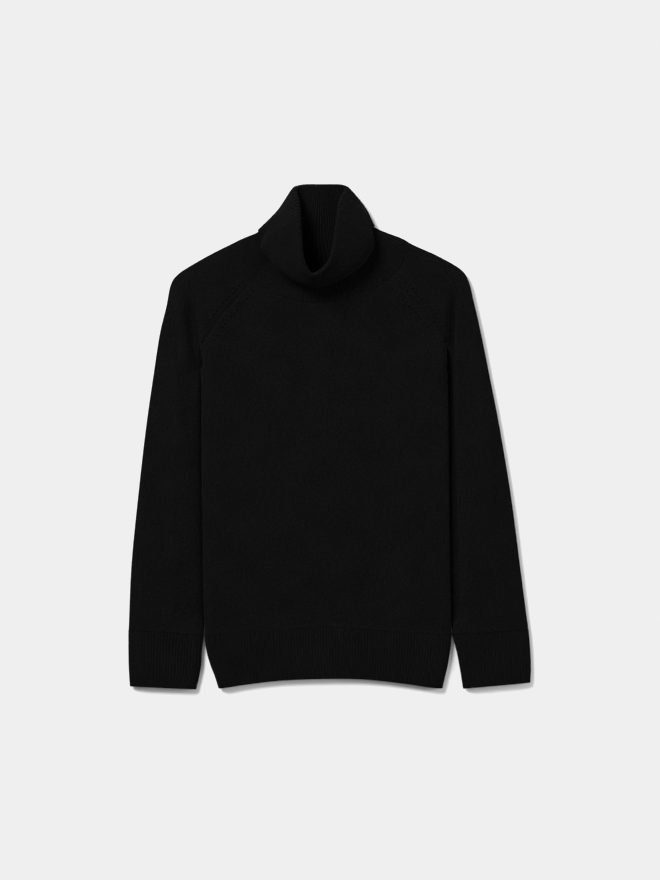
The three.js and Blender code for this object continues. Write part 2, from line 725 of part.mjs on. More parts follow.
function collarNormal(u, spot) {
  const du = collarPoint(u + STEP_AROUND, spot).sub(collarPoint(u - STEP_AROUND, spot));
  const low = Math.max(spot - STEP_ALONG, 0);
  const high = Math.min(spot + STEP_ALONG, SPOTS - 1);
  const dv = collarPoint(u, high).sub(collarPoint(u, low));
  return du.cross(dv).normalize();
}

// Rows of one face of the collar's knit: side 1 is its outside at the seam, side -1 the other.
// At the rim both faces have the ribs' columns, so that the two stretches of the collar match there.
function collarFace(places, spots, side, rise) {
  return spots.map((spot, i) => {
    const atRim = Math.abs(spot - RIM_SPOT) < 2 * RIM_STEP;
    const rowPlaces = atRim ? ribPlaces : places;
    const row = rowPlaces.map((place, j) => {
      const u = place === 1 ? 0 : place;
      if (spot === 0) {
        const start = collarStart(u);
        return side > 0 ? start.out : start.inn;
      }
      const ribbed = i > 0 && i < spots.length - 1 && (spot <= 1 || spot >= RIM_SPOT);
      const lift = ribbed && j % 2 === 1 && place < 1 ? rise : 0;
      const p = collarPoint(u, spot).addScaledVector(collarNormal(u, spot), side * (WALL / 2 + lift));
      p.z = Math.max(p.z, 0);
      return p;
    });
    row.places = rowPlaces;
    return row;
  });
}

// Fraction of a turn at which the ring's point k lies.
function fractionOf(k) {
  const share = ringLength[k] / ringLength[ring.length - 1];
  let low = 0;
  let high = 1;
  while (high - low > 1e-7) {
    const middle = (low + high) / 2;
    if (at(middle, RING_SHARE.around, RING_SHARE.share) < share) low = middle;
    else high = middle;
  }
  return (low + high) / 2;
}

// Places of the collar's columns: even steps, the ring's own points round both side folds,
// and any closer steps asked for at the middle front.
const FRONT_STEPS = [0.007, 0.014, 0.021, 0.035];
const FOLD_REACH = 3;
const FOLD_MARGIN = 0.003;
function collarColumns(count, frontSteps) {
  const folds = [foldRight, foldLeft].map((fold) =>
    Array.from({ length: 2 * FOLD_REACH + 1 }, (_, k) => fractionOf(fold + k - FOLD_REACH)),
  );
  const places = folds.flat();
  for (let j = 0; j <= count; j++) {
    const u = j / count;
    const inFold = folds.some((f) => u > f[0] - FOLD_MARGIN && u < f[2 * FOLD_REACH] + FOLD_MARGIN);
    if (!inFold) places.push(u);
  }
  frontSteps.forEach((step) => places.push(step, 1 - step));
  return places.sort((p, q) => p - q);
}
const ribPlaces = collarColumns(144, []);
const plainPlaces = collarColumns(32, FRONT_STEPS);
const RIM_STEP = 0.11;
const standSpots = [0, 0.5, 1, 2, 3, 4, RIM_SPOT - RIM_STEP];
const overSpots = [RIM_SPOT + RIM_STEP, 6, 7, 7.5, 8, 8.5, 9];
const standOut = collarFace(ribPlaces, standSpots, 1, RIB_RISE);
const standIn = collarFace(plainPlaces, standSpots, -1, 0);
const overOut = collarFace(ribPlaces, overSpots, -1, RIB_RISE);
const overIn = collarFace(plainPlaces, overSpots, 1, 0);

const sweater = new THREE.Group();
sweater.name = "turtleneck_sweater";
sweater.add(wall("front", front.outer, front.inner));
sweater.add(wall("back", back.inner, back.outer));
sweater.add(wall("hem_rib_front", hemFront.outer, hemFrontInside.inner));
sweater.add(wall("hem_rib_back", hemBack.inner, hemBack.outer));
sweater.add(wall("sleeve_left", sleeveLeft.outer, sleeveLeft.inner));
sweater.add(wall("sleeve_right", sleeveRight.inner, sleeveRight.outer));
sweater.add(wall("cuff_left", cuffLeft.outer, cuffLeft.inner));
sweater.add(wall("cuff_right", cuffRight.inner, cuffRight.outer));
sweater.add(wall("collar_stand", standOut, standIn, true));
sweater.add(wall("collar_turnover", overIn, overOut, true));

export default sweater;
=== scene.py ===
"""A black turtleneck sweater in fine knit, laid flat on a pale surface and seen from straight above.

Lengths in the tables are millimetres, X across the laid garment, Y towards the collar, Z up.
Meshes are in metres.
Left and right are those of the laid garment as seen from above.
"""

import bmesh
import bpy
import numpy as np
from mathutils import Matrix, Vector


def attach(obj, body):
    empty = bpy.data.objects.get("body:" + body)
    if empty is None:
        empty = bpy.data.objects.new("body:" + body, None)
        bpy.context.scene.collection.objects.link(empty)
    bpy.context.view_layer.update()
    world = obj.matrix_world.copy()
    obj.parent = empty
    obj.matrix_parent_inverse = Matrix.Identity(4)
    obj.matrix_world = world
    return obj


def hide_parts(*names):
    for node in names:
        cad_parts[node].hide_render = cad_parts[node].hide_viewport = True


MM = 0.001

# View
IMAGE_HEIGHT = 880
MM_PER_PIXEL = 1.45
VIEW_X, VIEW_Y = 0.5, -4.6  # middle of the picture, mm
CAMERA_HEIGHT = 6000.0
SENSOR = 36.0

camera = bpy.data.objects.new("camera", bpy.data.cameras.new("camera"))
bpy.context.scene.collection.objects.link(camera)
camera.location = (VIEW_X * MM, VIEW_Y * MM, CAMERA_HEIGHT * MM)
camera.data.sensor_width = SENSOR
camera.data.lens = SENSOR * CAMERA_HEIGHT / (IMAGE_HEIGHT * MM_PER_PIXEL)
camera.data.clip_end = 50.0
bpy.context.scene.camera = camera

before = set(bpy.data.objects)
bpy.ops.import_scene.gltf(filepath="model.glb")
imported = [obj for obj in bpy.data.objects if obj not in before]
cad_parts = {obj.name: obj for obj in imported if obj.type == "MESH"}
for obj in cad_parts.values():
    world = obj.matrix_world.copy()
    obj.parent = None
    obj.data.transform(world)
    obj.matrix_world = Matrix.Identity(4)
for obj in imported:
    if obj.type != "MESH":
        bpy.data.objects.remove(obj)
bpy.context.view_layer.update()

# Sizes of the garment
WALL = 2.6  # knit thickness
LAYER_GAP = 0.15  # least space between a piece's two layers under a deep crease
LEAST_TOP = 4.0  # lowest that a crease comes to above the surface
NECK_GAP = 0.1
SEAM_LAP = 0.01  # how far a cuff passes under its sleeve, in sections
FOLD_HEIGHT = 4.4  # mid-line of the side folds above the surface
OUTER_FOLD, SHOULDER_FOLD = 5.2, 6.0  # the same of the sleeves' outer folds, and at the shoulders
LEFT_OVER, RIGHT_OVER = 1.0, 2.8  # how much higher the body's side folds lie beside the sleeves
RIGHT_SINK = 3.0  # how much lower the right sleeve's inner fold lies there
SIDE_LAP = 0.6  # how far a sleeve reaches under the body's rounded side
LAP_BLEND = 22.0  # length over which this starts below the underarm
LAP_END = 38.0  # and over which it ends above the cuffs
BODY_TOP = 6.4
SIDE_TOP = 9.0
CUFF_TOP = 8.4
BODY_ROLL = 11.0
RIGHT_ROLL = 7.0  # the body's tighter right side beside the sleeve
SLEEVE_ROLL = 26.0
INNER_ROLL, RIGHT_INNER_ROLL = 12.0, 30.0  # of the sleeves' inner sides, and of the right one beside the body
# How far these rolls are slopes rather than round: 0 is round, 1 a slope, 2 a hollow slope
BODY_SOFT, OUTER_SOFT, LEFT_SOFT, RIGHT_SOFT = 0.4, 0.0, 1.0, 2.0
INNER_SOFT = 0.75
HOLLOW = 0.28  # share of a hollow slope that stays low beside the fold
RIM_ROLL = 3.0
STAND_SET_IN = 1.5
FLAT_HALF_WIDTH = 95.0
RISE_WIDTH = 70.0
HEM_LIFT = 2.0
HEM_LIFT_WIDTH = 130.0
HEM_LIFT_LENGTH = 90.0
HEM_Y = -355.0
CUFF_Y = -275.0
CUFF_FALL = 60.0
UNDERARM_ROW = 5
NECK_ROW = 12

# Ribs and seams
RIB_RISE = 0.8
HEM_RIBS = 84
CUFF_RIBS = 24
COLLAR_RIBS = 120
BLOUSE, BLOUSE_AT, BLOUSE_WIDTH = 0.35, 2.0, 2.4
NECK_JOIN = 0.3  # share of this sink at the neck; where a rib is knitted on, there is none
NECK_JOIN_BLEND = 8.0
SEAM_DIP = 0.8  # how far a linked seam sinks
SEAM_DIP_WIDTH = 1.6

MIDDLE_X = -8.0
YOKE_Y = 150.0  # the front starts to rise here towards the neck
YOKE_RISE = 60.0
YOKE_SHARE = 0.55
HEM_LIFT_X = -5.0
SLEEVE_FROM = 185.0
SLEEVE_BLEND = 10.0
OUTER_ROLL_SHARE = 0.3
INNER_ROLL_SHARE = 0.3
LOWER_BOW_SHARE = 0.25
FOLD_FADE = 0.4  # share of a fold's length over which it fades at each end
FOLD_OVERRUN = 0.3
FITTING_PASSES = 4  # passes that settle a column's X and Y on each other
COLLAR_FOLD_RIGHT, COLLAR_FOLD_LEFT = 0.355, 0.645  # fractions of a turn of the collar's side folds
STEP_AROUND = 0.002
STEP_ALONG = 0.04
FLOOR_SIZE = 8.0  # m
FLOOR_Z = -0.0002

# Stitches, wool and light
RIB_PITCH = 4.2
RIB_MEAN = 0.55
RIB_START = 5.0
EDGE_ROUND = 1.2
TURNED_FLAT = 0.65  # how much flatter the turned-over ribs are pulled
TURNED_FROM, TURNED_TO = 6.7, 8.9  # between these spots of the collar
EDGE_ROWS = (0, 0.35, 0.8, 1.3, 2.0, 3.0, 4.4)
WALE = 2.3
COURSE = 1.7
LEG_SLANT = 0.8
YARN_BEND = 0.8
FIBRES = 0.5
PATCHES = 0.5
STITCH_DEPTH = 0.35
GRAIN = 2.6  # strength of the yarn's light and dark streaks
YARN_STREAKS = (0.3, 0.55, 0)  # their fineness across and along the wales, per mm
RIB_GROOVE_SHADE = 0.28  # painted shade: how much darker the grooves of a rib are made
RIDGE_LIGHT_GAIN = 0.5  # painted light: how much lighter the whole rib is made, in groove units, so its ridges come out lighter than the plain knit
WOOL = (0.00375, 0.00383, 0.00378)
WOOL_SPECULAR = 0.008
WOOL_SHEEN = 0.025
WOOL_ROUGHNESS, SHEEN_ROUGHNESS = 0.9, 0.2
PAPER = (0.86, 0.86, 0.86, 1)
ROOM_LIGHT = 0.29
PAPER_WHITE = 0.863  # the surface's shade in the picture, where it is fully lit

# Marks of the fashioned raglans
MARK_OFFSETS = (-10.5, 10.5)
MARK_STEP = 7.0
MARK_FROM = 16.0  # distance of the first mark from the underarm
MARK_SIZE = (2.1, 1.6, 1.0)


def table(columns, rows):
    """Rows of numbers as one array for each named column."""
    return dict(zip(columns.split(), np.array(rows, dtype=float).T))


BODY_SIDES = table("y left right", [
    [-365.7, -160.4, 162.9],
    [-346.3, -166.5, 167.3],
    [-332.3, -172, 170.6],
    [-312.9, -177.6, 173.9],
    [-290.3, -180.9, 176.2],
    [-251.1, -181.8, 175.1],
    [-168.5, -183.2, 173.8],
    [-85.8, -184.5, 172.9],
    [53.4, -186, 171.5],
    [136, -186.5, 169.9],
])

HEM_LINE = table("x bottom ribTop", [
    [-180.7, -365.1, -288.8],
    [-160.4, -364.8, -286.8],
    [-115.5, -358.4, -283],
    [-67.6, -353.1, -280.1],
    [-0.9, -350.8, -276.2],
    [52.7, -351.8, -280.1],
    [112.2, -358.4, -283.5],
    [148.4, -363.7, -285.9],
    [176, -365.1, -287.4],
])

RAGLAN_LEFT = table("x y", [
    [-186.5, 136],
    [-182.2, 139.6],
    [-172, 153.4],
    [-157.5, 175.6],
    [-135.1, 199.8],
    [-114, 225.2],
])

RAGLAN_RIGHT = table("x y", [
    [90.4, 231],
    [105.6, 214.3],
    [118.8, 201.3],
    [133.6, 185.3],
    [148.4, 167.2],
    [160, 153],
    [166.5, 142.5],
    [169.9, 136],
])

NECK_FRONT = table("x y", [
    [-114, 225.2],
    [-98.1, 217.5],
    [-79.8, 208.1],
    [-52, 197.9],
    [-24.1, 194],
    [3.4, 196],
    [31, 203.4],
    [51.3, 210.8],
    [73.7, 220.1],
    [90.4, 231],
])

NECK_BACK = table("x y", [
    [-98.1, 263.6],
    [-64.7, 254.9],
    [-11.1, 249.8],
    [45.5, 254.9],
    [78.8, 263.6],
])

SLEEVE_LEFT = table("s outerX outerY seamX seamY backX backY bow", [
    [0, -291.4, -280.1, -182.5, -288.1, -182.5, -288.1, 0],
    [1, -287.3, -185.9, -183.6, -178.6, -183.6, -178.6, 0],
    [2, -277.5, -85.4, -185.2, -77.1, -185.2, -77.1, 0],
    [3, -266.4, 11.7, -186.4, 17.1, -186.4, 17.1, 0],
    [4, -254.7, 94, -187, 89.6, -187, 89.6, 0],
    [5, -246, 149.8, -186.7, 135.4, -186.7, 135.4, 0],
    [6, -236.7, 188.6, -178.6, 145.4, -175.8, 151.3, 0],
    [7, -230.3, 220.1, -168.4, 159.2, -164.2, 168.1, 0],
    [8, -218.4, 236.6, -157.5, 175.6, -151.7, 186.2, 0],
    [9, -190.5, 254.2, -143.8, 191.1, -138.3, 205.5, 0.5],
    [10, -166.2, 267.5, -130.7, 204.9, -124.9, 224.9, 2],
    [11, -144.5, 278.3, -120.9, 216.5, -110.6, 245.5, 5],
    [12, -127.7, 286.8, -114, 225.2, -98.1, 263.6, 9],
])

SLEEVE_RIGHT = table("s outerX outerY seamX seamY backX backY bow", [
    [0, 288, -279.7, 177.3, -286.7, 177.3, -286.7, 0],
    [1, 276.7, -193.1, 175.4, -185.9, 175.4, -185.9, 0],
    [2, 263, -87.3, 173.9, -77.1, 173.9, -77.1, 0],
    [3, 246.4, 12.8, 172.8, 17.1, 172.8, 17.1, 0],
    [4, 230.6, 94, 171.9, 89.6, 171.9, 89.6, 0],
    [5, 219.5, 149.1, 170.1, 135.4, 170.1, 135.4, 0],
    [6, 210, 191.1, 164.6, 146.2, 159, 151.3, 0],
    [7, 201.2, 225.6, 156.5, 157.8, 147.1, 168.1, 0],
    [8, 189, 243.3, 146.2, 169.9, 134.1, 186.2, 0],
    [9, 157.7, 261.6, 133.6, 185.3, 120.3, 205.5, 0.5],
    [10, 132.5, 273, 118.8, 201.3, 106.5, 224.9, 2],
    [11, 118, 279.8, 104.9, 215.2, 91.7, 245.5, 5],
    [12, 107.1, 286.8, 90.4, 231, 78.8, 263.6, 9],
])

CUFF_LEFT = table("s outerX outerY seamX seamY", [
    [0, -289.2, -361.8, -193.5, -366],
    [1, -290.9, -335.2, -187, -335.2],
    [2, -291.4, -306.2, -185.1, -309.1],
    [3, -291.4, -280.1, -182.5, -288.1],
])

CUFF_RIGHT = table("s outerX outerY seamX seamY", [
    [0, 290.4, -356.4, 193.6, -365.1],
    [1, 291.4, -335.2, 189.3, -338.1],
    [2, 290.2, -306.2, 183.8, -309.1],
    [3, 288, -279.7, 177.3, -286.7],
])

COLLAR = table("around footX footY footZ rimX rimY rimZ bulgeX bulgeY bulgeZ edgeX edgeY edgeZ", [
    [0, -24.1, 225.9, 10, -24.5, 232.8, 40, -24.1, 216.8, 26, -24.1, 220.8, 14.5],
    [0.06, -0.2, 233.2, 10, -7.3, 243.6, 39.5, 7.8, 225.5, 26, 4.9, 229.5, 14.5],
    [0.12, 21.5, 247.7, 10, 3.3, 261.2, 37, 33.1, 239.2, 24, 29.5, 242.9, 14],
    [0.19, 40.4, 266.5, 9.3, 7, 283.9, 33, 53.4, 257.5, 21, 49.8, 260.7, 13.5],
    [0.27, 50.5, 284.6, 8.5, 10.7, 311.5, 26, 63.3, 283.9, 17, 60, 286.1, 12.5],
    [0.33, 56, 300, 7, 15.5, 343.4, 18, 47.5, 325.5, 15, 63.6, 301.6, 10.6],
    [0.355, 58.5, 306.5, 5.9, 22.5, 357.5, 13, 49.3, 334, 6.5, 63.7, 304.2, 5.5],
    [0.38, 51, 295, 5.3, 18.5, 363.6, 8.4, 38.9, 333.2, 1.4, 52.7, 300.6, 1.4],
    [0.42, 29.5, 288.3, 4.9, 4.5, 364.8, 5.5, 22.3, 334.7, 1.4, 32.4, 298.4, 1.4],
    [0.5, -14, 288.3, 4.9, -14, 364.8, 4.4, -15.4, 334.7, 1.4, -16.9, 297, 1.4],
    [0.58, -66.2, 287.5, 4.9, -35.7, 364.7, 5, -53.9, 333.9, 1.4, -67.6, 297, 1.4],
    [0.62, -88.7, 286.8, 5.3, -45.9, 362.2, 7.5, -68.4, 331.8, 1.4, -90.8, 299.1, 1.4],
    [0.645, -97.2, 299.4, 5.9, -48.4, 356.4, 12.5, -74.5, 327.7, 6.5, -102.7, 298.7, 5.5],
    [0.67, -94.6, 293.5, 7, -45.2, 343.4, 18, -72, 323.1, 15, -102.7, 295.5, 10.6],
    [0.73, -86.5, 280.3, 8.5, -42.3, 311.5, 26, -97.8, 280.3, 17, -94.8, 282.8, 12.5],
    [0.81, -75.6, 265.8, 9.3, -41, 281, 33, -87.9, 260.7, 21, -84.3, 263.9, 13.5],
    [0.88, -59.7, 244.8, 10, -39.2, 259.7, 37, -70.5, 240, 24, -67.1, 243.6, 14],
    [0.94, -43, 232.4, 10, -34.4, 243.6, 39.5, -49.5, 224.8, 26, -47.3, 229.1, 14.5],
])

FOLDS = table("x0 y0 x1 y1 halfWidth depth", [
    [-210, 202, -191, 141, 9, 1.2],
    [183, 205, 171.5, 150, 8, 1.3],
    [-222, 60, -200, 96, 12, 0.7],
    [196, 70, 182, 112, 11, 0.7],
])

# The left sleeve's rounded inner side along Y: its plan width, and how much lower its fold lies
LEFT_INNER = table("y width sink", [
    [-290, 28, 2.6],
    [-150, 30, 2.8],
    [-50, 28, 2.7],
    [20, 12, 1.0],
    [65, 9, 0.6],
    [95, 14, 2.0],
    [125, 17, 2.4],
    [170, 14, 2.4],
])

# Further soft creases of the top, and of the underside
CREASES = table("x0 y0 x1 y1 halfWidth depth", [
    [-203, 208, -188, 90, 8, 4.8],
    [-200, 180, -190, 92, 7.5, 3.6],
    [-198, 136, -194, 66, 7, 1.2],
    [-219, 206, -203, 94, 10, -3.0],
    [181, 212, 173, 84, 6.5, 4.4],
    [166, 196, 162, 70, 9, -2.4],
    [178, 182, 176, 84, 6.5, 2.8],
    [178, 136, 177, 66, 6, 1.6],
    [-224, 104, -214, -34, 13, -4.0],
    [-230, -60, -223, -200, 13, -3.0],
    [-221, -150, -226, -268, 14, -1.6],
    [218, 60, 240, -96, 16, -3.0],
    [236, -150, 250, -230, 15, -0.9],
    [-262, 70, -272, -60, 14, 0.9],
    [-150, 150, -112, 122, 13, 0.6],
    [128, 146, 96, 120, 13, 0.6],
    [-86, -250, -28, -196, 12, -1.0],
    [-120, 12, -126, -92, 12, -0.7],
    [20, 30, 34, -34, 14, -0.7],
    [-53, -288, -53, -345, 5, 0.8],
    [60, -120, 84, -196, 14, 0.6],
    [-8, 92, -60, 60, 12, 0.6],
])
UNDER_FOLDS = table("x0 y0 x1 y1 halfWidth depth", [
    [-150, 120, -120, 40, 10, 0.6],
    [120, 110, 100, 20, 12, 0.6],
])

UNDERARM_Y = BODY_SIDES["y"][-1]
LEFT_X = BODY_SIDES["left"][-1]
RIGHT_X = BODY_SIDES["right"][-1]
CORNER_LEFT, CORNER_RIGHT = NECK_FRONT["x"][0], NECK_FRONT["x"][-1]
BACK_LEFT, BACK_RIGHT = NECK_BACK["x"][0], NECK_BACK["x"][-1]
NECK_MIDDLE_X = -24.6


# Curves and heights
def at(t, keys, values):
    """Smooth value of a table's column at t: cubic pieces whose slopes come from the rows on each side."""
    if keys[-1] < keys[0]:
        keys, values = keys[::-1], values[::-1]
    t = np.clip(t, keys[0], keys[-1])
    i = np.clip(np.searchsorted(keys, t, "right") - 1, 0, len(keys) - 2)
    low = np.maximum(np.arange(len(keys)) - 1, 0)
    high = np.minimum(np.arange(len(keys)) + 1, len(keys) - 1)
    slope = (values[high] - values[low]) / (keys[high] - keys[low])
    span = keys[i + 1] - keys[i]
    w = (t - keys[i]) / span
    w2, w3 = w * w, w * w * w
    return (
        (2 * w3 - 3 * w2 + 1) * values[i]
        + (w3 - 2 * w2 + w) * span * slope[i]
        + (3 * w2 - 2 * w3) * values[i + 1]
        + (w3 - w2) * span * slope[i + 1]
    )


def around(u, keys, values):
    """The same over a closed table whose key is the fraction of a turn."""
    n = len(keys)
    j = np.arange(-2, n + 3)
    turn = j // n
    return at(u - np.floor(u), keys[j - turn * n] + turn, values[j - turn * n])


def lerp(a, b, t):
    return a + (b - a) * t


def ease(t):
    w = np.clip(t, 0, 1)
    return w * w * (3 - 2 * w)


def unit(v):
    return v / np.linalg.norm(v, axis=-1, keepdims=True)


def roll(distance, width, soft=0.0):
    """Rise of a rounded side from 0 at the fold to 1 past its roll: a quarter circle, or a slope where soft."""
    c = np.clip(1 - distance / width, 0, 1)
    rise = lerp(np.sqrt(1 - c * c), np.cos(np.pi / 2 * c), np.clip(soft, 0, 1))
    return lerp(rise, ease((1 - c - HOLLOW) / (1 - HOLLOW)), np.clip(soft - 1, 0, 1))


def troughs(x, y, folds):
    """Sum of soft troughs: each runs from (x0, y0) to (x1, y1) with a rounded section and fading ends."""
    total = np.zeros(np.broadcast(x, y).shape)
    for x0, y0, x1, y1, half, depth in zip(*folds.values()):
        dx, dy = x1 - x0, y1 - y0
        length = np.hypot(dx, dy)
        along = ((x - x0) * dx + (y - y0) * dy) / length**2
        off = ((x - x0) * dy - (y - y0) * dx) / length
        fade = ease(along / FOLD_FADE + FOLD_OVERRUN) * ease((1 - along) / FOLD_FADE + FOLD_OVERRUN)
        total += depth * fade * np.exp(-((off / half) ** 2))
    return total


def top_height(x, y):
    """Height of the laid garment's top face: flat middle, fuller sides and sleeves, less the soft folds."""
    from_middle = np.abs(x - MIDDLE_X)
    side = ease((from_middle - FLAT_HALF_WIDTH) / RISE_WIDTH)
    lift_x, lift_y = (x - HEM_LIFT_X) / HEM_LIFT_WIDTH, (y - HEM_Y) / HEM_LIFT_LENGTH
    lift = HEM_LIFT * np.exp(-(lift_x**2) - lift_y**2)
    yoke = ease((y - YOKE_Y) / YOKE_RISE)
    h = lerp(BODY_TOP, SIDE_TOP, np.maximum(side, YOKE_SHARE * yoke)) + lift * (1 - side)
    sleeve = ease((from_middle - SLEEVE_FROM) / SLEEVE_BLEND)
    h = lerp(h, lerp(h, CUFF_TOP, ease((CUFF_Y + CUFF_FALL - y) / CUFF_FALL)), sleeve)
    return h - troughs(x, y, FOLDS) - troughs(x, y, CREASES)


def side_lap(y):
    """Share, 0 to 1, by which body and sleeve lie closely side by side at y."""
    return ease((UNDERARM_Y - y) / LAP_BLEND) * ease((y - HEM_LINE["ribTop"][0]) / LAP_END)


def wall_point(x, y, upper, start, folds, lift, crown):
    """Outer and inner point of a wall at (x, y). Each fold turns it round its mid-line, at height start.

    lift raises the outside in mm. The underside rests on its crown, the highest lift, and is hollow elsewhere.
    """
    rise, in_x, in_y, out_x, out_y = 1.0, x, y, x, y
    for distance, width, dir_x, dir_y, soft in folds:
        rise = rise * roll(distance, width, np.where(upper, soft, 0))
        share = np.clip(1 - distance / width, 0, None)
        in_x, in_y = in_x + share * WALL * dir_x, in_y + share * WALL * dir_y
        out_x, out_y = out_x - share * lift * dir_x, out_y - share * lift * dir_y
    h = np.maximum(top_height(x, y), LEAST_TOP)
    hollow = troughs(x, y, UNDER_FOLDS)
    z_out = lerp(start, np.where(upper, h + lift, np.maximum(crown - lift, 0) + hollow), rise)
    inside = np.where(upper, np.maximum(h - WALL, WALL + LAYER_GAP), WALL + hollow)
    z_in = lerp(start, inside, rise)
    return np.stack([out_x, out_y, z_out], -1), np.stack([in_x, in_y, z_in], -1)


def dip(distance):
    """Sink of the cloth beside a linked seam, by the distance from it."""
    return -SEAM_DIP * np.exp(-((distance / SEAM_DIP_WIDTH) ** 2))


def blouse(distance):
    """Fullness of the plain knit where a rib gathers it, by the distance from the rib."""
    return BLOUSE * np.exp(-(((distance - BLOUSE_AT) / BLOUSE_WIDTH) ** 2))


def rib_wave(phase):
    """Section of a rib: rounded ridges with narrow grooves between them."""
    return RIB_RISE * (np.abs(np.cos(np.pi * phase)) ** 0.6 - RIB_MEAN)


def round_edge(distance):
    """Rounding of a knitted edge, by the distance from it."""
    c = np.clip(1 - distance / EDGE_ROUND, 0, 1)
    return (np.sqrt(1 - c * c) - 1) * EDGE_ROUND


# Meshes
def add_mesh(name, points, quads, uv, material):
    """A mesh object from points in mm, quads of point indices, and a uv pair in mm for each quad corner."""
    mesh = bpy.data.meshes.new(name)
    mesh.vertices.add(len(points))
    mesh.vertices.foreach_set("co", (points * MM).astype(np.float32).ravel())
    mesh.loops.add(quads.size)
    mesh.loops.foreach_set("vertex_index", quads.astype(np.int32).ravel())
    mesh.polygons.add(len(quads))
    mesh.polygons.foreach_set("loop_start", np.arange(0, quads.size, 4, dtype=np.int32))
    mesh.polygons.foreach_set("use_smooth", np.ones(len(quads), dtype=bool))
    mesh.update(calc_edges=True)
    layer = mesh.uv_layers.new(name="knit_mm")
    layer.data.foreach_set("uv", uv.astype(np.float32).ravel())
    mesh.materials.append(material)
    mesh.validate()
    piece = bpy.data.objects.new(name, mesh)
    bpy.context.scene.collection.objects.link(piece)
    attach(piece, "root")
    return piece


def grid_quads(rows, columns, first, ring):
    """Quads of a grid of points numbered row by row; a ring's last column is its first one."""
    i = np.arange(rows - 1)[:, None]
    j = np.arange(columns - 1)[None, :]
    real = columns - 1 if ring else columns
    a, b = first + i * real + j, first + i * real + (j + 1) % real
    return np.stack([a, b, b + real, a + real], -1).reshape(-1, 4)


def wall(name, outer, inner, uv, material, ring=False, turned=False, inner_shift=0.0):
    """Closed wall between two grids of one size, with rims at its open edges.

    uv is in mm for each point, and the inner face's is shifted across the wales by inner_shift.
    """
    rows, columns = outer.shape[:2]
    keep = columns - 1 if ring else columns
    points = np.concatenate([outer[:, :keep].reshape(-1, 3), inner[:, :keep].reshape(-1, 3)])
    count = rows * keep
    face_uv = uv.reshape(-1, 2)[grid_quads(rows, columns, 0, False)]
    quads = [grid_quads(rows, columns, 0, ring), grid_quads(rows, columns, count, ring)[:, ::-1]]
    uvs = [face_uv, face_uv[:, ::-1] + [inner_shift, 0]]

    def rim(a, b, edge_uv):
        quads.append(np.stack([a[:-1], b[:-1], b[1:], a[1:]], -1))
        uvs.append(np.stack([edge_uv[:-1], edge_uv[:-1], edge_uv[1:], edge_uv[1:]], 1))

    low = np.arange(columns) % keep
    high = (rows - 1) * keep + low
    rim(low, low + count, uv[0])
    rim(high + count, high, uv[-1])
    if not ring:
        first = np.arange(rows) * keep
        last = first + keep - 1
        rim(first + count, first, uv[:, 0])
        rim(last, last + count, uv[:, -1])
    quads, uvs = np.concatenate(quads), np.concatenate(uvs)
    if turned:
        quads, uvs = quads[:, ::-1], uvs[:, ::-1]
    return add_mesh(name, points, quads, uvs.reshape(-1, 2), material)


def close_ends(count, length, low, high):
    """Fractions from 0 to 1: even, with closer ones within a few millimetres of the ends asked for."""
    near = np.array(EDGE_ROWS) / length
    middle = np.linspace(near[-1] if low else 0, 1 - near[-1] if high else 1, count)
    return np.unique(np.concatenate([near if low else [0], middle, 1 - near if high else [1]]))


# Body
def side_x(side, y):
    return at(np.minimum(y, UNDERARM_Y), BODY_SIDES["y"], BODY_SIDES[side])


def body_folds(x, y):
    """The two side folds: distance from each, roll width, and the direction away from it."""
    folds = []
    above = np.maximum(y - UNDERARM_Y, 0)
    for side, inward in (("left", 1), ("right", -1)):
        across = np.maximum((x - side_x(side, y)) * inward, 0)
        distance = np.hypot(across, above)
        safe = np.maximum(distance, 0.01)
        away_x = np.where(distance > 0.01, across / safe * inward, inward)
        width = BODY_ROLL if inward > 0 else lerp(BODY_ROLL, RIGHT_ROLL, side_lap(y))
        folds.append((distance, width, away_x, np.where(distance > 0.01, above / safe, 0), BODY_SOFT))
    return folds


def roll_shares(degrees):
    return 1 - np.cos(np.radians(np.arange(0, 90, degrees)))


def body_columns(corners, counts, degrees):
    """Columns' X by the underarms: close steps round both sides, even ones between the corners."""
    stops = [LEFT_X + BODY_ROLL, *corners, RIGHT_X - BODY_ROLL]
    middle = [np.linspace(a, b, n, endpoint=False) for a, b, n in zip(stops[:-1], stops[1:], counts)]
    side = roll_shares(degrees) * BODY_ROLL
    return np.concatenate([LEFT_X + side, *middle, [stops[-1]], RIGHT_X - side[::-1]])


def body_panel(columns, rows, lower, upper, is_upper, ribs=0):
    """Outer and inner grids and uv of a body panel: x by column, y between its lower and upper line."""
    x = np.broadcast_to(columns, (len(rows), len(columns)))
    for _ in range(FITTING_PASSES):
        bottom, top = lower(x), upper(x)
        y = lerp(bottom, top, rows[:, None])
        left, right = side_x("left", y), side_x("right", y)
        x = left + (columns - LEFT_X) * (right - left) / (RIGHT_X - LEFT_X)
    slope = upper(x + 0.5) - upper(x - 0.5)
    if ribs:
        lift = round_edge(y - bottom) + rib_wave((columns - LEFT_X) / (RIGHT_X - LEFT_X) * ribs)
    else:
        neck = ease((x - CORNER_LEFT) / NECK_JOIN_BLEND) * ease((CORNER_RIGHT - x) / NECK_JOIN_BLEND)
        lift = dip((top - y) / np.hypot(1, slope)) * lerp(1, NECK_JOIN, neck) + blouse(y - bottom) * is_upper
    crown = RIB_RISE * (1 - RIB_MEAN) if ribs else 0
    over = lerp(LEFT_OVER, RIGHT_OVER, ease((x - LEFT_X) / (RIGHT_X - LEFT_X)))
    start = FOLD_HEIGHT + over * side_lap(y)
    out, inn = wall_point(x, y, is_upper, start, body_folds(x, y), lift, crown)
    return out, inn, np.stack([np.broadcast_to(columns - LEFT_X, x.shape), y], -1)


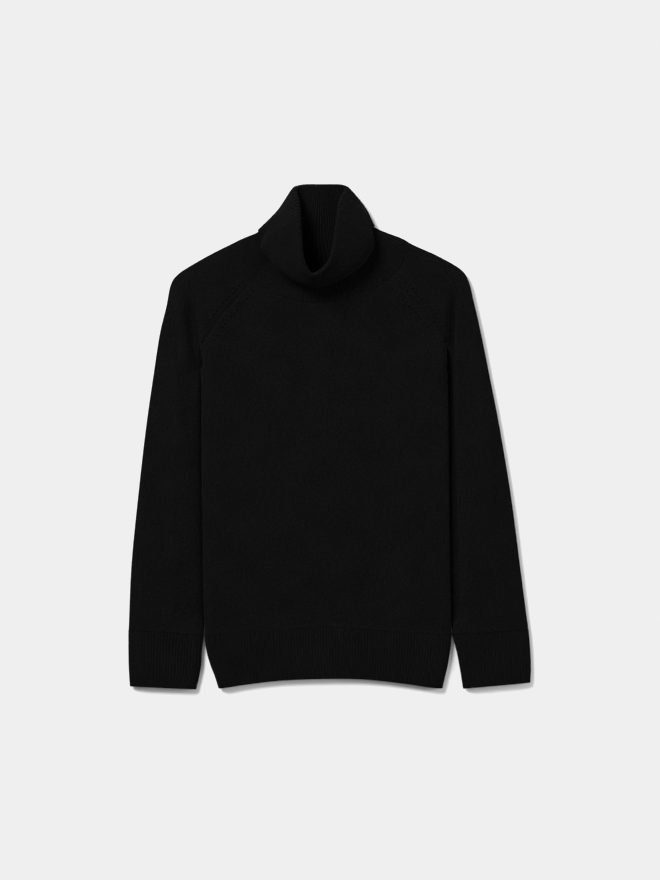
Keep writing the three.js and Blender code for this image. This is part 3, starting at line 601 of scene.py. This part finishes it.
def front_top(x):
    left = at(x, RAGLAN_LEFT["x"], RAGLAN_LEFT["y"])
    right = at(x, RAGLAN_RIGHT["x"], RAGLAN_RIGHT["y"])
    neck = at(x, NECK_FRONT["x"], NECK_FRONT["y"])
    return np.where(x < CORNER_LEFT, left, np.where(x > CORNER_RIGHT, right, neck))


def back_top(x):
    left = at(x, SLEEVE_LEFT["backX"][UNDERARM_ROW:], SLEEVE_LEFT["backY"][UNDERARM_ROW:])
    right = at(x, SLEEVE_RIGHT["backX"][UNDERARM_ROW:], SLEEVE_RIGHT["backY"][UNDERARM_ROW:])
    neck = at(x, NECK_BACK["x"], NECK_BACK["y"])
    return np.where(x < BACK_LEFT, left, np.where(x > BACK_RIGHT, right, neck))


def rib_top(x):
    return at(x, HEM_LINE["x"], HEM_LINE["ribTop"])


def hem_bottom(x):
    return at(x, HEM_LINE["x"], HEM_LINE["bottom"])


# Sleeves and cuffs
def sleeve_columns(upper_steps, lower_steps, degrees):
    """Columns round a sleeve, from its back seam side over the outer side to its front seam side.

    Each is (upper, a, b, c): it lies a outer rolls + b widths + c inner rolls from the outer side.
    """

    def half(steps, upper):
        t = np.linspace(0, 1, steps + 1)
        k = roll_shares(degrees)
        a = np.concatenate([k, 1 - t, 0 * k])
        b = np.concatenate([0 * k, t, 0 * k + 1])
        c = np.concatenate([0 * k, -t, -k[::-1]])
        return np.stack([np.full(len(a), float(upper)), a, b, c], -1)

    return np.concatenate([half(lower_steps, 0)[::-1], half(upper_steps, 1)[1:]])


def inner_side(y, side, lap):
    """A sleeve's inner side at y: plan width, softness and sink, where it lies by the body by the share lap."""
    width, soft, sink = RIGHT_INNER_ROLL, RIGHT_SOFT, RIGHT_SINK
    if side < 0:
        width, sink = (at(y, LEFT_INNER["y"], LEFT_INNER[name]) for name in ("width", "sink"))
        soft = LEFT_SOFT
    return lerp(INNER_ROLL, width, lap), lerp(INNER_SOFT, soft, lap), sink * lap


def sleeve_grid(sections, s, columns, ribs=0):
    """Outer and inner grids and uv of a sleeve or cuff: rows by section s, columns as in sleeve_columns."""
    s = s[:, None]
    upper = columns[:, 0] > 0.5
    raglan = "backX" in sections

    def get(name):
        return at(s, sections["s"], sections[name])

    outer_x, outer_y = get("outerX"), get("outerY")
    seam_x, seam_y = get("seamX"), get("seamY")
    lap = 0.0
    if raglan:
        lap = side_lap(seam_y) * (s < UNDERARM_ROW)
        side, inward = ("left", 1) if outer_x[0, 0] < 0 else ("right", -1)
        seam_x = lerp(seam_x, side_x(side, seam_y) + inward * SIDE_LAP, lap)
        above_arm = s > UNDERARM_ROW
        back_x = np.where(above_arm, get("backX"), seam_x)
        front_y = np.where(above_arm, front_top(seam_x), seam_y)
        back_y = np.where(above_arm, back_top(back_x), get("backY"))
        seam_x, seam_y = np.where(upper, seam_x, back_x), np.where(upper, front_y, back_y)
    length = np.hypot(seam_x - outer_x, seam_y - outer_y)
    across_x, across_y = (seam_x - outer_x) / length, (seam_y - outer_y) / length
    width = length
    outer_roll = np.minimum(SLEEVE_ROLL, OUTER_ROLL_SHARE * width)
    inner_roll, inner_soft, sink = inner_side(seam_y, outer_x[0, 0], lap)
    inner_roll = np.minimum(inner_roll, INNER_ROLL_SHARE * width)
    distance = columns[:, 1] * outer_roll + columns[:, 2] * width + columns[:, 3] * inner_roll
    bow, above, inner_width = 0.0, 0.0, inner_roll
    if raglan:
        bow = get("bow") * np.sin(np.pi * distance / width) * np.where(upper, 1, LOWER_BOW_SHARE)
        arm_x = at(UNDERARM_ROW, sections["s"], sections["seamX"])
        arm_y = at(UNDERARM_ROW, sections["s"], sections["seamY"])
        above = np.where(above_arm, np.hypot(seam_x - arm_x, seam_y - arm_y), 0)
        inner_width = lerp(inner_roll, BODY_ROLL, np.clip(s - UNDERARM_ROW + 1, 0, 1))
        inner_soft = lerp(inner_soft, BODY_SOFT, np.clip(s - UNDERARM_ROW + 1, 0, 1))
    turn = np.sign(across_x)
    x = outer_x + across_x * distance + across_y * bow * turn
    y = outer_y + across_y * distance - across_x * bow * turn
    folds = [
        (distance, outer_roll, across_x, across_y, OUTER_SOFT),
        (np.hypot(width - distance, above), inner_width, -across_x, -across_y, inner_soft),
    ]
    step = np.hypot(np.diff(x, axis=0, prepend=x[:1]), np.diff(y, axis=0, prepend=y[:1]))
    along = np.cumsum(step, 0)
    side = np.where(upper, 1, -1) * distance
    if ribs:
        lift = round_edge(along) + rib_wave(side / width * ribs)
    else:
        seam = dip(width - distance) * ease(s - UNDERARM_ROW)
        lift = dip(along[-1:] - along) * NECK_JOIN + seam + blouse(along) * upper
    crown = RIB_RISE * (1 - RIB_MEAN) if ribs else 0
    outer_start = FOLD_HEIGHT
    if raglan:
        outer_start = lerp(OUTER_FOLD, SHOULDER_FOLD, ease(s - UNDERARM_ROW + 1)) * np.ones_like(s)
        outer_start = lerp(FOLD_HEIGHT, outer_start, ease(s / 1.5) * ease((NECK_ROW - s) / 2))
    start = lerp(outer_start, FOLD_HEIGHT - sink, ease(distance / width))
    out, inn = wall_point(x, y, upper, start, folds, lift, crown)
    middle = along[:, (len(columns) * 2) // 3][:, None]
    flat_side = side / width * ribs * RIB_PITCH if ribs else side
    return out, inn, np.stack([flat_side, np.broadcast_to(middle, side.shape)], -1)


# Collar
def neck_ring(front, back, right, left, front_columns, back_columns, fold):
    """The neck seam from the middle front to the right, as outer and inner points, with its lengths.

    It joins the last rows of the front, the right sleeve, the back, the left sleeve and the front again.
    Also returns the shares of its length at which the sleeves' folds lie.
    """
    middle, first_front, last_front = (
        np.argmin(np.abs(front_columns - x)) for x in (NECK_MIDDLE_X, CORNER_LEFT, CORNER_RIGHT)
    )
    first_back, last_back = (np.argmin(np.abs(back_columns - x)) for x in (BACK_LEFT, BACK_RIGHT))
    parts = [
        (front, np.arange(middle, last_front)),
        (right, np.arange(len(right[0][0]) - 2, 0, -1)),
        (back, np.arange(last_back - 1, first_back, -1)),
        (left, np.arange(1, len(left[0][0]) - 1)),
        (front, np.arange(first_front + 1, middle + 1)),
    ]
    ring = [np.concatenate([grid[side][-1][pick] for grid, pick in parts]) for side in (0, 1)]
    length = np.concatenate([[0], np.cumsum(np.linalg.norm(np.diff(ring[0], axis=0), axis=-1))])
    counts = [len(pick) for _, pick in parts]
    fold_right = counts[0] + len(right[0][0]) - 2 - fold
    fold_left = sum(counts[:3]) + fold - 1
    share_right, share_left = length[[fold_right, fold_left]] / length[-1]
    shares = table("around share", [
        [0, 0],
        [COLLAR_FOLD_RIGHT / 2, share_right / 2],
        [COLLAR_FOLD_RIGHT, share_right],
        [0.5, (share_right + share_left) / 2],
        [COLLAR_FOLD_LEFT, share_left],
        [(1 + COLLAR_FOLD_LEFT) / 2, (1 + share_left) / 2],
        [1, 1],
    ])
    return ring, length, shares


def collar_spot(u, name):
    """One of the collar's section points by the fraction of a turn."""
    p = np.stack([around(u, COLLAR["around"], COLLAR[name + axis]) for axis in "XYZ"], -1)
    p[..., 2] = np.maximum(p[..., 2], WALL / 2)
    return p


def collar_start(u, neck):
    """Outer and inner points of the collar's first row, set off from the neck seam towards the collar."""
    ring, length, shares = neck
    reach = at(u - np.floor(u), shares["around"], shares["share"]) * length[-1]
    out, inn = (np.stack([np.interp(reach, length, face[:, k]) for k in range(3)], -1) for face in ring)
    towards = collar_spot(u, "foot") - out
    towards[..., 2] = 0
    towards = unit(towards) * NECK_GAP
    return out + towards, inn + towards


def collar_line(u, neck):
    """Section points of the knit's middle line at each u: seam, foot, over the rolled rim, bulge, free edge."""
    start = collar_start(u, neck)
    foot, rim, bulge, edge = (collar_spot(u, name) for name in ("foot", "rim", "bulge", "edge"))
    run = unit(collar_spot(u + STEP_AROUND, "rim") - collar_spot(u - STEP_AROUND, "rim"))
    along = rim - (foot + edge) / 2
    along = unit(along - (along * run).sum(-1, keepdims=True) * run)
    across = np.cross(run, along)
    centre = rim - RIM_ROLL * along
    turned = []
    for degrees in (-90, -45, 45, 90):
        angle = np.radians(degrees)
        p = centre + RIM_ROLL * (np.cos(angle) * along + np.sin(angle) * across)
        p[..., 2] = np.maximum(p[..., 2], WALL / 2)
        turned.append(p)
    before, rising, falling, after = turned
    middle = (foot + before) / 2 - STAND_SET_IN * across
    seam = (start[0] + start[1]) / 2
    return np.stack([seam, foot, middle, before, rising, rim, falling, after, bulge, edge], 1)


def on_line(points, spots):
    """Points of a centripetal spline through each section's points, at places 0 to 9 along them."""
    ends = 2 * points[:, :1] - points[:, 1:2], 2 * points[:, -1:] - points[:, -2:-1]
    p = np.concatenate([ends[0], points, ends[1]], 1)
    i = np.clip(np.floor(spots).astype(int), 0, points.shape[1] - 2)
    w = (spots - i)[None, :, None]
    p0, p1, p2, p3 = (p[:, i + k] for k in range(4))
    steps = (p0, p1), (p1, p2), (p2, p3)
    d0, d1, d2 = (np.linalg.norm(b - a, axis=-1, keepdims=True) ** 0.5 for a, b in steps)
    t1 = ((p1 - p0) / d0 - (p2 - p0) / (d0 + d1) + (p2 - p1) / d1) * d1
    t2 = ((p2 - p1) / d1 - (p3 - p1) / (d1 + d2) + (p3 - p2) / d2) * d1
    q = p1 + t1 * w + (-3 * p1 + 3 * p2 - 2 * t1 - t2) * w**2 + (2 * p1 - 2 * p2 + t1 + t2) * w**3
    q[..., 2] = np.maximum(q[..., 2], WALL / 2)
    return q


def collar_grid(u, spots, neck):
    """Grids of the collar's two faces, rows by spot from the seam over the rim to the free edge."""
    line = collar_line(u, neck)
    p = on_line(line, spots)
    du = on_line(collar_line(u + STEP_AROUND, neck), spots) - on_line(collar_line(u - STEP_AROUND, neck), spots)
    top = len(line[0]) - 1
    dv = on_line(line, np.minimum(spots + STEP_ALONG, top)) - on_line(line, np.maximum(spots - STEP_ALONG, 0))
    normal = unit(np.cross(du, dv))
    along = np.cumsum(np.linalg.norm(np.diff(p, axis=1, prepend=p[:, :1]), axis=-1), 1)
    phase = (u * COLLAR_RIBS)[:, None]
    fade = ease(along / RIB_START)
    flat = 1 - TURNED_FLAT * ease(spots - TURNED_FROM) * ease((TURNED_TO - spots) / 0.5)
    faces = []
    for side, shift, start in zip((1, -1), (0, 0.5), collar_start(u, neck)):
        lift = rib_wave(phase + shift) * fade * flat + NECK_JOIN * dip(along) + round_edge(along[:, -1:] - along)
        free = p + side * normal * (WALL / 2 + lift)[..., None]
        held = start[:, None] + p - p[:, :1]
        face = lerp(held, free, ease(along / RIB_START)[..., None])
        face[..., 2] = np.maximum(face[..., 2], 0)
        faces.append(face.transpose(1, 0, 2))
    uv = np.stack([np.broadcast_to(phase * RIB_PITCH, along.shape), along], -1)
    return faces[0], faces[1], uv.transpose(1, 0, 2)


# Materials
def math(tree, operation, a, b=None, c=None):
    """A math node on sockets or numbers; returns its output socket."""
    node = tree.nodes.new("ShaderNodeMath")
    node.operation = operation
    for socket, value in zip(node.inputs, (a, b, c)):
        if isinstance(value, bpy.types.NodeSocket):
            tree.links.new(value, socket)
        elif value is not None:
            socket.default_value = value
    return node.outputs[0]


def noise(tree, vector, scale, detail=2.0):
    """Noise from about 0 to 1 on a vector socket."""
    node = tree.nodes.new("ShaderNodeTexNoise")
    node.inputs["Scale"].default_value = scale
    node.inputs["Detail"].default_value = detail
    tree.links.new(vector, node.inputs["Vector"])
    return node.outputs["Fac"]


def stitch_group():
    """Node group: the knit's height from 0 to 1 and its colour's strength, from the uv in mm.

    Each wale holds two slanted yarn legs; along the wale they swell once a course. Slow noise bends the rows,
    fine noise stands for the fibres, and broad noise makes the cloth darker and lighter in patches.
    The colour also holds painted shade: it is darker where the stitches lie low, and with the groove input
    darker in a rib's grooves, while the whole rib is made lighter so that its ridges carry painted light.
    """
    group = bpy.data.node_groups.new("knit_stitches", "ShaderNodeTree")
    for name in ("Wale", "Course", "Groove shade"):
        group.interface.new_socket(name, in_out="INPUT", socket_type="NodeSocketFloat")
    for name in ("Height", "Strength"):
        group.interface.new_socket(name, in_out="OUTPUT", socket_type="NodeSocketFloat")
    read = group.nodes.new("NodeGroupInput")
    write = group.nodes.new("NodeGroupOutput")
    place = group.nodes.new("ShaderNodeUVMap")
    place.uv_map = "knit_mm"
    split = group.nodes.new("ShaderNodeSeparateXYZ")
    group.links.new(place.outputs["UV"], split.inputs[0])
    uv = place.outputs["UV"]
    bend = math(group, "MULTIPLY", math(group, "SUBTRACT", noise(group, uv, 0.12), 0.5), YARN_BEND)
    wale = math(group, "DIVIDE", math(group, "ADD", split.outputs[0], bend), read.outputs["Wale"])
    centred = math(group, "SUBTRACT", math(group, "FRACT", wale), 0.5)
    leg = math(group, "MULTIPLY", math(group, "ABSOLUTE", centred), 2.0)
    off = math(group, "SUBTRACT", math(group, "MULTIPLY", leg, 2.0), 1.0)
    ridge = math(group, "SUBTRACT", 1.0, math(group, "MULTIPLY", off, off))
    course = math(group, "DIVIDE", math(group, "ADD", split.outputs[1], bend), read.outputs["Course"])
    turn = math(group, "MULTIPLY", math(group, "ADD", course, math(group, "MULTIPLY", leg, LEG_SLANT)), 6.28318)
    swell = math(group, "MULTIPLY_ADD", math(group, "COSINE", turn), 0.3, 0.7)
    fibres = math(group, "MULTIPLY", math(group, "SUBTRACT", noise(group, uv, 1.6, 3.0), 0.5), FIBRES)
    height = math(group, "ADD", math(group, "MULTIPLY", ridge, swell), fibres)
    group.links.new(height, write.inputs["Height"])
    patches = math(group, "MULTIPLY_ADD", noise(group, uv, 0.02, 3.0), PATCHES, 1 - PATCHES / 2)
    # Painted shade: the colour is darker where the stitches' yarn lies low.
    shade = math(group, "MULTIPLY_ADD", height, 0.35, 0.8)
    stretch = group.nodes.new("ShaderNodeVectorMath")
    stretch.operation = "MULTIPLY"
    stretch.inputs[1].default_value = YARN_STREAKS
    group.links.new(place.outputs["UV"], stretch.inputs[0])
    grain = math(group, "MULTIPLY_ADD", noise(group, stretch.outputs[0], 1.0, 3.0), GRAIN, 1 - GRAIN / 2)
    # Painted shade in a rib's grooves, and painted light that lifts the whole rib so its ridges come out
    # lighter.
    turn = math(group, "MULTIPLY", split.outputs[0], 3.14159 / RIB_PITCH)
    crest = math(group, "ABSOLUTE", math(group, "COSINE", turn))
    groove_shade = math(group, "MULTIPLY", math(group, "SUBTRACT", 1.0, crest), read.outputs["Groove shade"])
    strength = math(group, "MULTIPLY", math(group, "MULTIPLY", patches, shade), grain)
    strength = math(group, "MULTIPLY", strength, math(group, "SUBTRACT", 1.0, groove_shade))
    ridge_light = math(group, "MULTIPLY_ADD", read.outputs["Groove shade"], RIDGE_LIGHT_GAIN, 1.0)
    strength = math(group, "MULTIPLY", strength, ridge_light)
    group.links.new(strength, write.inputs["Strength"])
    return group


def knit_material(name, stitches, wale, course, groove_shade, depth):
    """Matt black wool: stitches as relief and as painted shade in their hollows and a rib's grooves, with a
    faint fibre sheen.
    """
    material = bpy.data.materials.new(name)
    material.use_nodes = True
    tree = material.node_tree
    shader = tree.nodes["Principled BSDF"]
    knit = tree.nodes.new("ShaderNodeGroup")
    knit.node_tree = stitches
    knit.inputs["Wale"].default_value = wale
    knit.inputs["Course"].default_value = course
    knit.inputs["Groove shade"].default_value = groove_shade
    colour = tree.nodes.new("ShaderNodeVectorMath")
    colour.operation = "SCALE"
    colour.inputs[0].default_value = WOOL
    tree.links.new(knit.outputs["Strength"], colour.inputs["Scale"])
    tree.links.new(colour.outputs[0], shader.inputs["Base Color"])
    bump = tree.nodes.new("ShaderNodeBump")
    bump.inputs["Distance"].default_value = depth * MM
    bump.inputs["Strength"].default_value = 1.0
    tree.links.new(knit.outputs["Height"], bump.inputs["Height"])
    tree.links.new(bump.outputs["Normal"], shader.inputs["Normal"])
    shader.inputs["Roughness"].default_value = WOOL_ROUGHNESS
    shader.inputs["Specular IOR Level"].default_value = WOOL_SPECULAR
    shader.inputs["Sheen Weight"].default_value = WOOL_SHEEN
    shader.inputs["Sheen Roughness"].default_value = SHEEN_ROUGHNESS
    return material


stitches = stitch_group()
knit = knit_material("fine_knit", stitches, WALE, COURSE, 0.0, STITCH_DEPTH)
rib = knit_material("rib_knit", stitches, RIB_PITCH / 2, COURSE, RIB_GROOVE_SHADE, STITCH_DEPTH)

# Panels
front_columns = body_columns([CORNER_LEFT, CORNER_RIGHT], [26, 76, 26], 9)
front = body_panel(
    front_columns, close_ends(190, 500, True, True), rib_top, front_top, True,
)
front_panel = wall("front_panel", *front, knit)

back_columns = body_columns([BACK_LEFT, BACK_RIGHT], [26, 52, 28], 9)
back = body_panel(
    back_columns, close_ends(150, 530, True, True), rib_top, back_top, False,
)
back_panel = wall("back_panel", *back, knit, turned=True)

hem_columns = body_columns([], [HEM_RIBS * 8], 3)
hem_rows = close_ends(24, 75, True, True)
hem_front = body_panel(
    hem_columns, hem_rows, hem_bottom, rib_top, True, ribs=HEM_RIBS,
)
hem_front_uv = hem_front[2] * [HEM_RIBS * RIB_PITCH / (RIGHT_X - LEFT_X), 1]
hem_front_rib = wall("hem_front_rib", hem_front[0], hem_front[1], hem_front_uv, rib)
hem_back = body_panel(
    hem_columns, hem_rows, hem_bottom, rib_top, False, ribs=HEM_RIBS,
)
hem_back_rib = wall("hem_back_rib", hem_back[0], hem_back[1], hem_front_uv, rib, turned=True)

sleeve_turn = sleeve_columns(34, 26, 9)
sleeve_rows = lerp(0, NECK_ROW, close_ends(230, 620, True, True))
fold_column = len(sleeve_columns(0, 26, 9)) - len(sleeve_columns(0, 0, 9)) + 2 * len(roll_shares(9))
sleeve_left = sleeve_grid(SLEEVE_LEFT, sleeve_rows, sleeve_turn)
sleeve_right = sleeve_grid(SLEEVE_RIGHT, sleeve_rows, sleeve_turn)
sleeve_left_knit = wall("sleeve_left_knit", *sleeve_left, knit)
sleeve_right_knit = wall("sleeve_right_knit", *sleeve_right, knit, turned=True)

cuff_turn = sleeve_columns(CUFF_RIBS * 8, CUFF_RIBS * 8, 3)
cuff_rows = lerp(0, CUFF_LEFT["s"][-1] + SEAM_LAP, close_ends(26, 80, True, True))
cuff_left = sleeve_grid(CUFF_LEFT, cuff_rows, cuff_turn, ribs=CUFF_RIBS)
cuff_right = sleeve_grid(CUFF_RIGHT, cuff_rows, cuff_turn, ribs=CUFF_RIBS)
cuff_left_rib = wall("cuff_left_rib", *cuff_left, rib)
cuff_right_rib = wall("cuff_right_rib", *cuff_right, rib, turned=True)

neck = neck_ring(front, back, sleeve_right, sleeve_left, front_columns, back_columns, fold_column)
turns = np.linspace(0, 1, COLLAR_RIBS * 7 + 1)
collar_spots = np.concatenate([
    [0, 0.02, 0.05, 0.09, 0.14], np.linspace(0.2, 3, 20), np.linspace(3.2, 6.8, 19), np.linspace(7, 8.85, 9),
    [8.9, 8.94, 8.97, 9],
])
collar = wall("collar", *collar_grid(turns, collar_spots, neck), rib, ring=True, inner_shift=RIB_PITCH / 2)


def fashion_marks(name, material):
    """Small raised stitches in lines along both raglan seams, on the front and on the sleeves.

    Each is an ellipsoid half sunk in the cloth, longest along the seam.
    """
    ball = bmesh.new()
    bmesh.ops.create_icosphere(ball, subdivisions=2, radius=1)
    shape = np.array([v.co[:] for v in ball.verts])
    faces = np.array([[v.index for v in f.verts] for f in ball.faces])
    ball.free()
    places = []
    for line in (RAGLAN_LEFT, RAGLAN_RIGHT):
        x = np.linspace(line["x"][0], line["x"][-1], 400)
        y = front_top(x)
        length = np.concatenate([[0], np.cumsum(np.hypot(np.diff(x), np.diff(y)))])
        from_arm = length if y[0] < y[-1] else length[-1] - length
        order = np.argsort(from_arm)
        stops = np.arange(MARK_FROM, length[-1] - 2, MARK_STEP)
        mark_x = np.interp(stops, from_arm[order], x[order])
        mark_y = np.interp(stops, from_arm[order], y[order])
        angle = np.arctan2(np.gradient(mark_y), np.gradient(mark_x))
        for offset in MARK_OFFSETS:
            places.append(np.stack([
                mark_x - np.sin(angle) * offset, mark_y + np.cos(angle) * offset, angle,
            ], -1))
    x, y, angle = np.concatenate(places).T[:, :, None]
    local_x, local_y, local_z = (shape * MARK_SIZE).T
    along_x, along_y = np.cos(angle), np.sin(angle)
    points = np.stack([
        x + along_x * local_x - along_y * local_y,
        y + along_y * local_x + along_x * local_y,
        top_height(x, y) + local_z + 0 * x,
    ], -1).reshape(-1, 3)
    every = (faces[None] + np.arange(len(x))[:, None, None] * len(shape)).reshape(-1, 3)
    mesh = bpy.data.meshes.new(name)
    mesh.from_pydata((points * MM).tolist(), [], every.tolist())
    mesh.polygons.foreach_set("use_smooth", np.ones(len(every), dtype=bool))
    uv = points[every.ravel()][:, :2]
    mesh.uv_layers.new(name="knit_mm").data.foreach_set("uv", uv.astype(np.float32).ravel())
    mesh.materials.append(material)
    piece = bpy.data.objects.new(name, mesh)
    bpy.context.scene.collection.objects.link(piece)
    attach(piece, "root")
    return piece


marks = fashion_marks("fashion_marks", knit)

for piece, slot, nodes in (
    (front_panel, "knit", ["front"]),
    (back_panel, "knit", ["back"]),
    (sleeve_left_knit, "knit", ["sleeve_left"]),
    (sleeve_right_knit, "knit", ["sleeve_right"]),
    (hem_front_rib, "rib", ["hem_rib_front"]),
    (hem_back_rib, "rib", ["hem_rib_back"]),
    (cuff_left_rib, "rib", ["cuff_left"]),
    (cuff_right_rib, "rib", ["cuff_right"]),
    (collar, "rib", ["collar_stand", "collar_turnover"]),
):
    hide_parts(*nodes)

# Surface and light
floor_mesh = bpy.data.meshes.new("floor")
half = FLOOR_SIZE / 2
corners = [(x, y, FLOOR_Z) for x, y in ((-half, -half), (half, -half), (half, half), (-half, half))]
floor_mesh.from_pydata(corners, [], [(0, 1, 2, 3)])
floor = bpy.data.objects.new("floor", floor_mesh)
bpy.context.scene.collection.objects.link(floor)
floor_material = bpy.data.materials.new("pale_paper")
floor_material.use_nodes = True
paper = floor_material.node_tree.nodes["Principled BSDF"]
paper.inputs["Base Color"].default_value = PAPER
paper.inputs["Roughness"].default_value = 1.0
paper.inputs["Specular IOR Level"].default_value = 0.0
floor_mesh.materials.append(floor_material)

world = bpy.data.worlds.new("soft_room")
bpy.context.scene.world = world
world.use_nodes = True
world.node_tree.nodes["Background"].inputs["Color"].default_value = (1, 1, 1, 1)
world.node_tree.nodes["Background"].inputs["Strength"].default_value = ROOM_LIGHT


def soft_lamp(name, power, place, size):
    """A round area lamp at place, aimed at the middle of the garment; metres and watts."""
    lamp = bpy.data.objects.new(name, bpy.data.lights.new(name, "AREA"))
    lamp.data.shape = "DISK"
    lamp.data.size = size
    lamp.data.energy = power
    lamp.location = place
    lamp.rotation_mode = "QUATERNION"
    lamp.rotation_quaternion = Vector(place).to_track_quat("Z", "Y")
    bpy.context.scene.collection.objects.link(lamp)


soft_lamp("window_left", 490, (-2.9, 2.9, 2.4), 2.5)
soft_lamp("window_right", 66, (2.7, 0.1, 0.95), 1.2)

view = bpy.context.scene.view_settings
view.view_transform = "Standard"
view.look = "None"
view.exposure = 0
view.gamma = 1
# The lit surface is held at one even shade, as in an exposure that clips it.
view.use_curve_mapping = True
curve = view.curve_mapping.curves[3]
curve.points[0].location = (0, 0)
curve.points[1].location = (1, PAPER_WHITE)
curve.points.new(PAPER_WHITE, PAPER_WHITE)
for point in curve.points:
    point.handle_type = "VECTOR"
view.curve_mapping.update()
